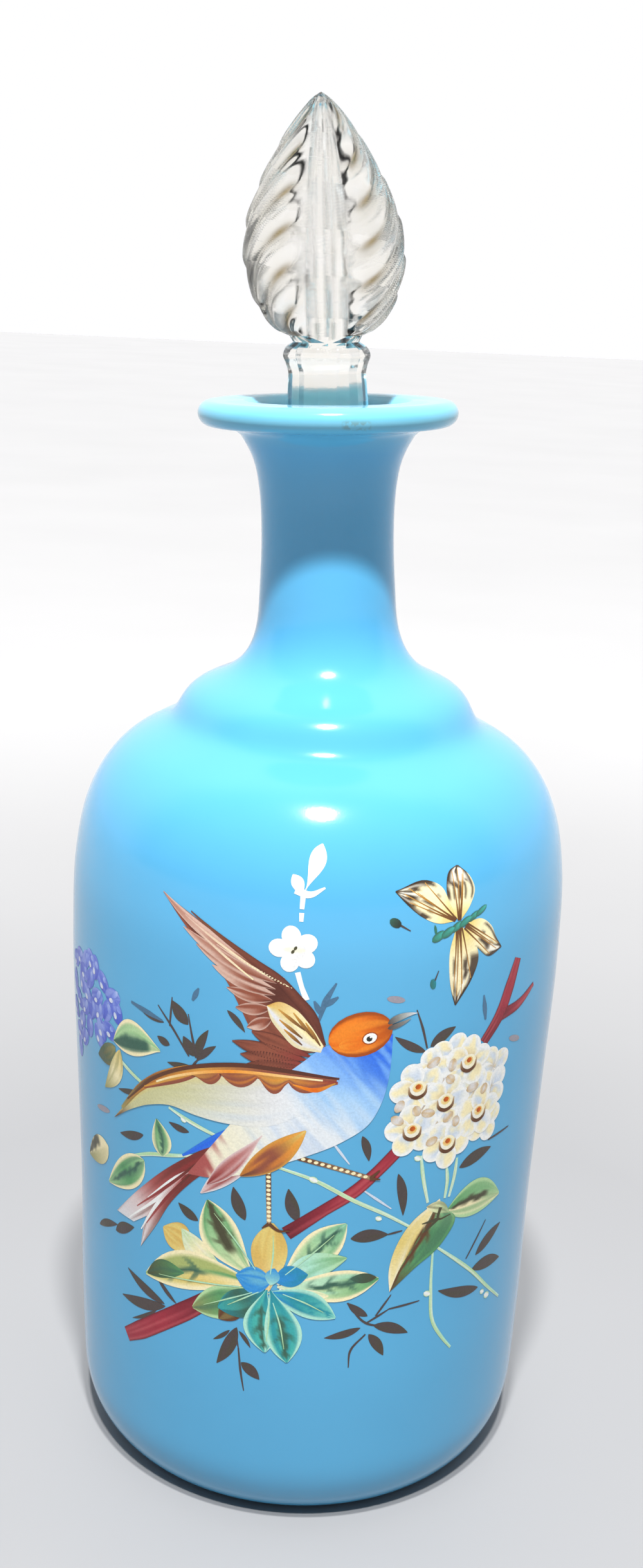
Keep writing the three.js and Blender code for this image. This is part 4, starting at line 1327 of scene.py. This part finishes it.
def shapeAt(shape, share):
    # smooth value between a shape's points, without overshoot
    last = len(shape) - 1
    share = min(max(share, shape[0][0]), shape[last][0])
    i = 0
    while i < last - 1 and shape[i + 1][0] < share:
        i += 1

    def rate(k):
        return (shape[k + 1][1] - shape[k][1]) / (shape[k + 1][0] - shape[k][0])

    def slope(k):
        if k in (0, last):
            return rate(0 if k == 0 else last - 1)
        before, after = rate(k - 1), rate(k)
        return 0 if before * after <= 0 else 2 * before * after / (before + after)

    span = shape[i + 1][0] - shape[i][0]
    t = (share - shape[i][0]) / span
    smooth = t * t * (3 - 2 * t)
    bulge = t * (1 - t) * span * (slope(i) * (1 - t) - slope(i + 1) * t)
    return shape[i][1] * (1 - smooth) + shape[i + 1][1] * smooth + bulge


# a ring's points hold the place across, the place ahead, the groove shade (painted shade, darker deep in the
# grooves) and a dark brown tint beside the midrib
def evenRing(radiusAt):
    turns = [2 * math.pi * i / ringCount for i in range(ringCount)]
    return [(radiusAt(t) * math.sin(t), radiusAt(t) * math.cos(t), 0, 0) for t in turns]


def sidedRadius(flat):
    facet = 2 * math.pi / s["shankSides"]

    def radiusAt(turn):
        return flat / math.cos((turn + facet / 2) % facet - facet / 2)
    return radiusAt


def lobeSink(turn, height):
    # lobes run flat beside the midrib and climb steeply to the edges, alike on front and back
    aside = math.asin(math.sin(turn))
    climb = s["lobeClimb"] * (aside - s["lobeSweep"] * math.sin(2 * aside)) / (math.pi / 2)
    phase = (height - climb) / s["lobePitch"]
    across = 2 * (phase - math.floor(phase)) - 1
    groove = max(1 - math.hypot(1 - abs(across), s["grooveSoftness"]), 0) ** s["lobeRoundness"]
    flute = math.exp(-((across - s["fluteAt"]) / s["fluteWidth"]) ** 2)
    return s["lobeDepth"] * groove + s["fluteDepth"] * flute


def leafRing(height):
    share = height / s["leafHeight"]
    size = shapeAt(s["leafShape"], share)
    wide = s["leafWidth"] / 2 * size
    deep = s["leafThickness"] / 2 * size
    ribHalf = min(s["ribWidth"] / 2 * shapeAt(s["ribWidthShape"], share), wide * s["mostRibShare"])
    ridge = max(s["ribReach"] * shapeAt(s["ribReachShape"], share), deep + s["leastRibRise"])
    edge = max(ridge - s["ribSlope"] * ribHalf, deep - s["leastRibRise"])
    footTurn = math.asin(min((ribHalf + s["ribFoot"]) / wide, s["mostFootShare"]))
    fade = min(size / s["lobeFadeSize"], 1)
    roof = [i / s["roofSteps"] for i in range(1, s["roofSteps"] + 1)]

    def half(side):
        points = [(side * ribHalf * k, mix(ridge, edge, k), 0, 0) for k in roof]
        for i in range(s["sideSteps"] + 2):
            past = (math.pi - 2 * footTurn) * i / (s["sideSteps"] + 1)
            turn = side * (footTurn + past)
            # grooves run out beside the midribs
            fromRib = min(past, math.pi - 2 * footTurn - past)
            sink = lobeSink(turn, height) * mix(s["ribCalm"], 1, ease(fromRib, 0, s["calmReach"]))
            # painted shade: the deeper the groove, the darker the glass is tinted there
            shade = min(sink / s["lobeDepth"], 1)
            # a dark brown tint lies in the deeper grooves just beside the midrib
            besideRib = math.exp(-((past - s["ribBrownPast"]) / s["ribBrownWidth"]) ** 2)
            points.append((
                (wide - sink * fade) * math.sin(turn), (deep - sink * fade) * math.cos(turn),
                shade, ease(shade, *s["ribBrownGrooveReach"]) * besideRib))
        return [*points, *[(side * ribHalf * k, -mix(ridge, edge, k), 0, 0) for k in roof[::-1]]]

    return [(0, ridge, 0, 0), *half(1), (0, -ridge, 0, 0), *half(-1)[::-1]]


def ribbedRing(height, flat):
    # the midrib runs on below the leaf and dies out on the shank
    share = height / s["leafHeight"]
    ribHalf = s["ribWidth"] / 2 * shapeAt(s["ribWidthShape"], share)
    ridge = s["ribReach"] * shapeAt(s["ribReachShape"], share)
    base = sidedRadius(flat)

    def radiusAt(turn):
        across = abs(math.sin(turn))
        roof = ridge / (abs(math.cos(turn)) + s["ribSlope"] * across)
        return max(base(turn), min(roof, ribHalf / max(across, s["tinyAcross"])))
    return evenRing(radiusAt)


def stopperRows():
    plugBottom = seatBottom + s["plugShort"]
    plugTop = seatTop - s["plugShort"] / 2
    shank = boreAt(plugTop) - s["plugGap"] - s["shankInset"]
    ringStart = mouthHeight + s["shankRise"]
    ringEnd = ringStart + s["ringHeight"]
    waist = ringEnd + s["waistHeight"] / 2
    leafStart = ringEnd + s["waistHeight"]
    rows = []
    for i in range(s["plugEdgeSteps"] + 1):  # rounded lower edge of the plug
        turn = math.pi / 2 * i / s["plugEdgeSteps"]
        height = plugBottom + s["plugChamfer"] * (1 - math.cos(turn))
        radius = boreAt(height) - s["plugGap"] - s["plugChamfer"] * (1 - math.sin(turn))
        rows.append((height, evenRing(lambda turn, r=radius: r)))
    for i in range(1, s["plugSteps"] + 1):
        height = mix(plugBottom + s["plugChamfer"], plugTop, i / s["plugSteps"])
        rows.append((height, evenRing(lambda turn, r=boreAt(height) - s["plugGap"]: r)))
    flatStart = seatTop + b["funnelDepth"] / 3
    rows.append((flatStart, evenRing(sidedRadius(shank + s["shankFlare"]))))
    throatShares = [i / s["throatSteps"] for i in range(1, s["throatSteps"] + 1)]
    for share in throatShares:
        flat = shank + s["shankFlare"] * (1 - share / 2)
        rows.append((mix(flatStart, mouthHeight, share), evenRing(sidedRadius(flat))))
    collarStart = ringStart - s["collarFoot"]
    swellHalf, swellFull = (ringStart + s["ringHeight"] * share for share in s["collarSwell"])
    collar = curveThrough(
        [(collarStart, shank), (ringStart, shank), (swellHalf, shank + s["ringOut"] / 2),
         (swellFull, shank + s["ringOut"]), (ringEnd, shank + s["ringOut"] / 2),
         (waist, shank - s["waistIn"])], s["collarSteps"])
    for share in throatShares:
        flat = mix(shank + s["shankFlare"] / 2, shank, share)
        rows.append((mix(mouthHeight, collarStart, share), evenRing(sidedRadius(flat))))
    for height, flat in collar[1:]:
        rows.append((height, ribbedRing(height - leafStart, flat)))
    for i in range(s["leafRows"] + 1):
        height = s["leafHeight"] * (i / s["leafRows"]) ** s["rowCrowding"]
        rows.append((leafStart + height, leafRing(height)))
    return rows


def loft(rows):
    vertices, faces, grooveShadesAndBrowns = [], [], []
    bendEnd = bendStart + b["bendLength"]
    bendRadius = b["bendLength"] / b["neckLean"]
    stand = Matrix.Translation((
        -bendRadius * (1 - math.cos(b["neckLean"])), 0,
        bendStart + bendRadius * math.sin(b["neckLean"]),
    )) @ Matrix.Rotation(-b["neckLean"], 4, "Y")
    leanFrom = seatTop + b["funnelDepth"] / 3

    def place(x, y, height):
        lean = -math.tan(s["leafLean"]) * max(height - leanFrom, 0)
        return stand @ Vector((x + lean, y, height - bendEnd))

    cosTurn, sinTurn = math.cos(s["leafTurn"]), math.sin(s["leafTurn"])
    for height, ring in rows:
        for across, ahead, shade, ribBrown in ring:
            grooveShadesAndBrowns.append((shade, ribBrown))
            x = across * cosTurn + ahead * sinTurn
            y = across * sinTurn - ahead * cosTurn
            vertices.append(place(x, y, height))
    bottom = len(vertices)
    vertices += [place(0, 0, rows[0][0]), place(0, 0, rows[-1][0] + s["tipRise"])]
    grooveShadesAndBrowns += [(0, 0)] * 2
    for i in range(ringCount):
        j = (i + 1) % ringCount
        faces.append((bottom, j, i))
        for row in range(len(rows) - 1):
            under, over = row * ringCount, (row + 1) * ringCount
            # the diagonals follow the lobes, which rise on the front and fall on the back
            if abs(i - ringCount / 2) >= ringCount / 4:
                faces += [(under + i, under + j, over + j), (under + i, over + j, over + i)]
            else:
                faces += [(under + i, under + j, over + i), (under + j, over + j, over + i)]
        last = (len(rows) - 1) * ringCount
        faces.append((last + i, last + j, bottom + 1))
    return vertices, faces, grooveShadesAndBrowns


def makeClearGlass():
    material, tree, shader = newMaterial("clear glass")
    look = clearLook
    surface = placeSurface(tree, look["cloudSize"], look["grainSize"], look["grainShare"])
    tint = blendColours(tree, spread(tree, surface.outputs["Cloud"], 0, 1), look["glass"], look["warm"])
    grooveShadeAndBrown = addNode(tree, "ShaderNodeAttribute", attribute_name="grooveShadeAndBrown")
    parts = addNode(tree, "ShaderNodeSeparateColor")
    tree.links.new(grooveShadeAndBrown.outputs["Color"], parts.inputs["Color"])
    # painted shade: the groove tint darkens the glass by groove depth
    tint = blendColours(tree, parts.outputs["Red"], tint, look["groove"])
    # a dark brown tint in the deeper grooves beside the midrib
    tint = blendColours(tree, parts.outputs["Green"], tint, look["ribBrown"])
    tree.links.new(tint, shader.inputs["Base Color"])
    setInputs(shader, IOR=look["refraction"], Roughness=look["roughness"], Metallic=0.0,
              Transmission_Weight=1.0)
    addBump(tree, shader, surface.outputs["Height"], look["waviness"], look["wavesDepth"])
    return material


stopperPoints, stopperFaces, stopperGrooveShadesAndBrowns = loft(stopperRows())
stopper = newPiece("glassStopper", stopperPoints, stopperFaces, makeClearGlass(), s["sharpAngle"])
# the painted groove shade and the dark brown tint beside the midrib, kept as a colour attribute
grooveShadeAndBrown = stopper.data.color_attributes.new("grooveShadeAndBrown", "FLOAT_COLOR", "POINT")
for i, (shade, ribBrown) in enumerate(stopperGrooveShadesAndBrowns):
    grooveShadeAndBrown.data[i].color = (shade, ribBrown, 0, 1)
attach(stopper, "root")
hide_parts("stopper")
print("stopper formed:", len(stopperFaces), "faces")


# Stage: floor, light and camera, in metres and degrees.
stageValues = dict(
    # the floor is painted darker near the bottle than far off: a painted shade round it, which keeps the near
    # light's pool and bounce down
    floorSize=6.0, floorNear=(0.3, 0.3, 0.305, 1), floorFar=(0.66, 0.655, 0.65, 1),
    nearReach=0.12, farReach=0.6, grainShare=0.96, grainSize=60.0, grainDetail=4.0, floorRoughness=0.6,
    skyFront=(0.17, 0.175, 0.19, 1), skyBack=(1.0, 1.0, 1.02, 1), skyStrength=1.0, skyReach=(-0.15, 0.3),
    nearLight=dict(place=(0.0, -0.215, 0.61), target=(0, 0, 0.12), size=0.035, power=4.15),
    farLight=dict(direction=(0, -0.407, 0.914), angle=3, power=3.0),
    cameraPlace=(-0.000167, -0.29746, 0.21389), cameraPitch=-16.355, cameraRoll=2.529,
    cameraLens=39.09, sensorWidth=36, clipStart=0.01,
)


def makeFloor():
    v = stageValues
    size = v["floorSize"]
    corners = [(-size, -size, 0), (size, -size, 0), (size, size, 0), (-size, size, 0)]
    mesh = bpy.data.meshes.new("floor")
    mesh.from_pydata(corners, [], [(0, 1, 2, 3)])
    material, tree, shader = newMaterial("pale floor")
    places = addNode(tree, "ShaderNodeTexCoord")
    distance = addNode(tree, "ShaderNodeVectorMath", operation="LENGTH")
    tree.links.new(places.outputs["Object"], distance.inputs[0])
    # painted shade: darker floor colour near the bottle, paler far off
    share = remap(tree, distance.outputs["Value"], 0, 1, v["nearReach"], v["farReach"])
    colour = blendColours(tree, share, v["floorNear"], v["floorFar"])
    grain = addNode(tree, "ShaderNodeTexNoise")
    setInputs(grain, Scale=v["grainSize"], Detail=v["grainDetail"])
    shade = spread(tree, grain.outputs["Fac"], v["grainShare"], 1)
    colour = blendColours(tree, 1.0, colour, shade, "MULTIPLY")
    tree.links.new(colour, shader.inputs["Base Color"])
    setInputs(shader, Roughness=v["floorRoughness"])
    mesh.materials.append(material)
    floor = bpy.data.objects.new("floor", mesh)
    bpy.context.scene.collection.objects.link(floor)
    return floor


makeFloor()


def makeWorld():
    world = bpy.data.worlds.new("studio")
    bpy.context.scene.world = world
    world.use_nodes = True
    tree = world.node_tree
    background = tree.nodes["Background"]
    place = addNode(tree, "ShaderNodeTexCoord")
    axes = addNode(tree, "ShaderNodeSeparateXYZ")
    tree.links.new(place.outputs["Generated"], axes.inputs[0])
    depth = remap(tree, axes.outputs["Y"], 0, 1, *stageValues["skyReach"])
    depth.node.interpolation_type = "SMOOTHSTEP"
    colour = blendColours(tree, depth, stageValues["skyFront"], stageValues["skyBack"])
    tree.links.new(colour, background.inputs["Color"])
    background.inputs["Strength"].default_value = stageValues["skyStrength"]


makeWorld()


def addLight(name, place, target, size, power):
    data = bpy.data.lights.new(name, "AREA")
    data.shape = "DISK"
    data.size = size
    data.energy = power
    light = bpy.data.objects.new(name, data)
    bpy.context.scene.collection.objects.link(light)
    aim = Vector(target) - Vector(place)
    light.matrix_world = Matrix.Translation(place) @ aim.to_track_quat("-Z", "Y").to_matrix().to_4x4()
    return light


def addSun(name, direction, angle, power):
    data = bpy.data.lights.new(name, "SUN")
    data.angle = math.radians(angle)
    data.energy = power
    light = bpy.data.objects.new(name, data)
    bpy.context.scene.collection.objects.link(light)
    light.matrix_world = (-Vector(direction)).to_track_quat("-Z", "Y").to_matrix().to_4x4()
    return light


addLight("near light", **stageValues["nearLight"])
addSun("far light", **stageValues["farLight"])


def placeCamera():
    v = stageValues
    data = bpy.data.cameras.new("camera")
    data.lens = v["cameraLens"]
    data.sensor_width = v["sensorWidth"]
    data.clip_start = v["clipStart"]
    camera = bpy.data.objects.new("camera", data)
    bpy.context.scene.collection.objects.link(camera)
    camera.matrix_world = (
        Matrix.Translation(v["cameraPlace"])
        @ Matrix.Rotation(math.radians(90 + v["cameraPitch"]), 4, "X")
        @ Matrix.Rotation(math.radians(v["cameraRoll"]), 4, "Z")
    )
    bpy.context.scene.camera = camera


placeCamera()
bpy.context.scene.view_settings.view_transform = "Standard"
print("stage set")
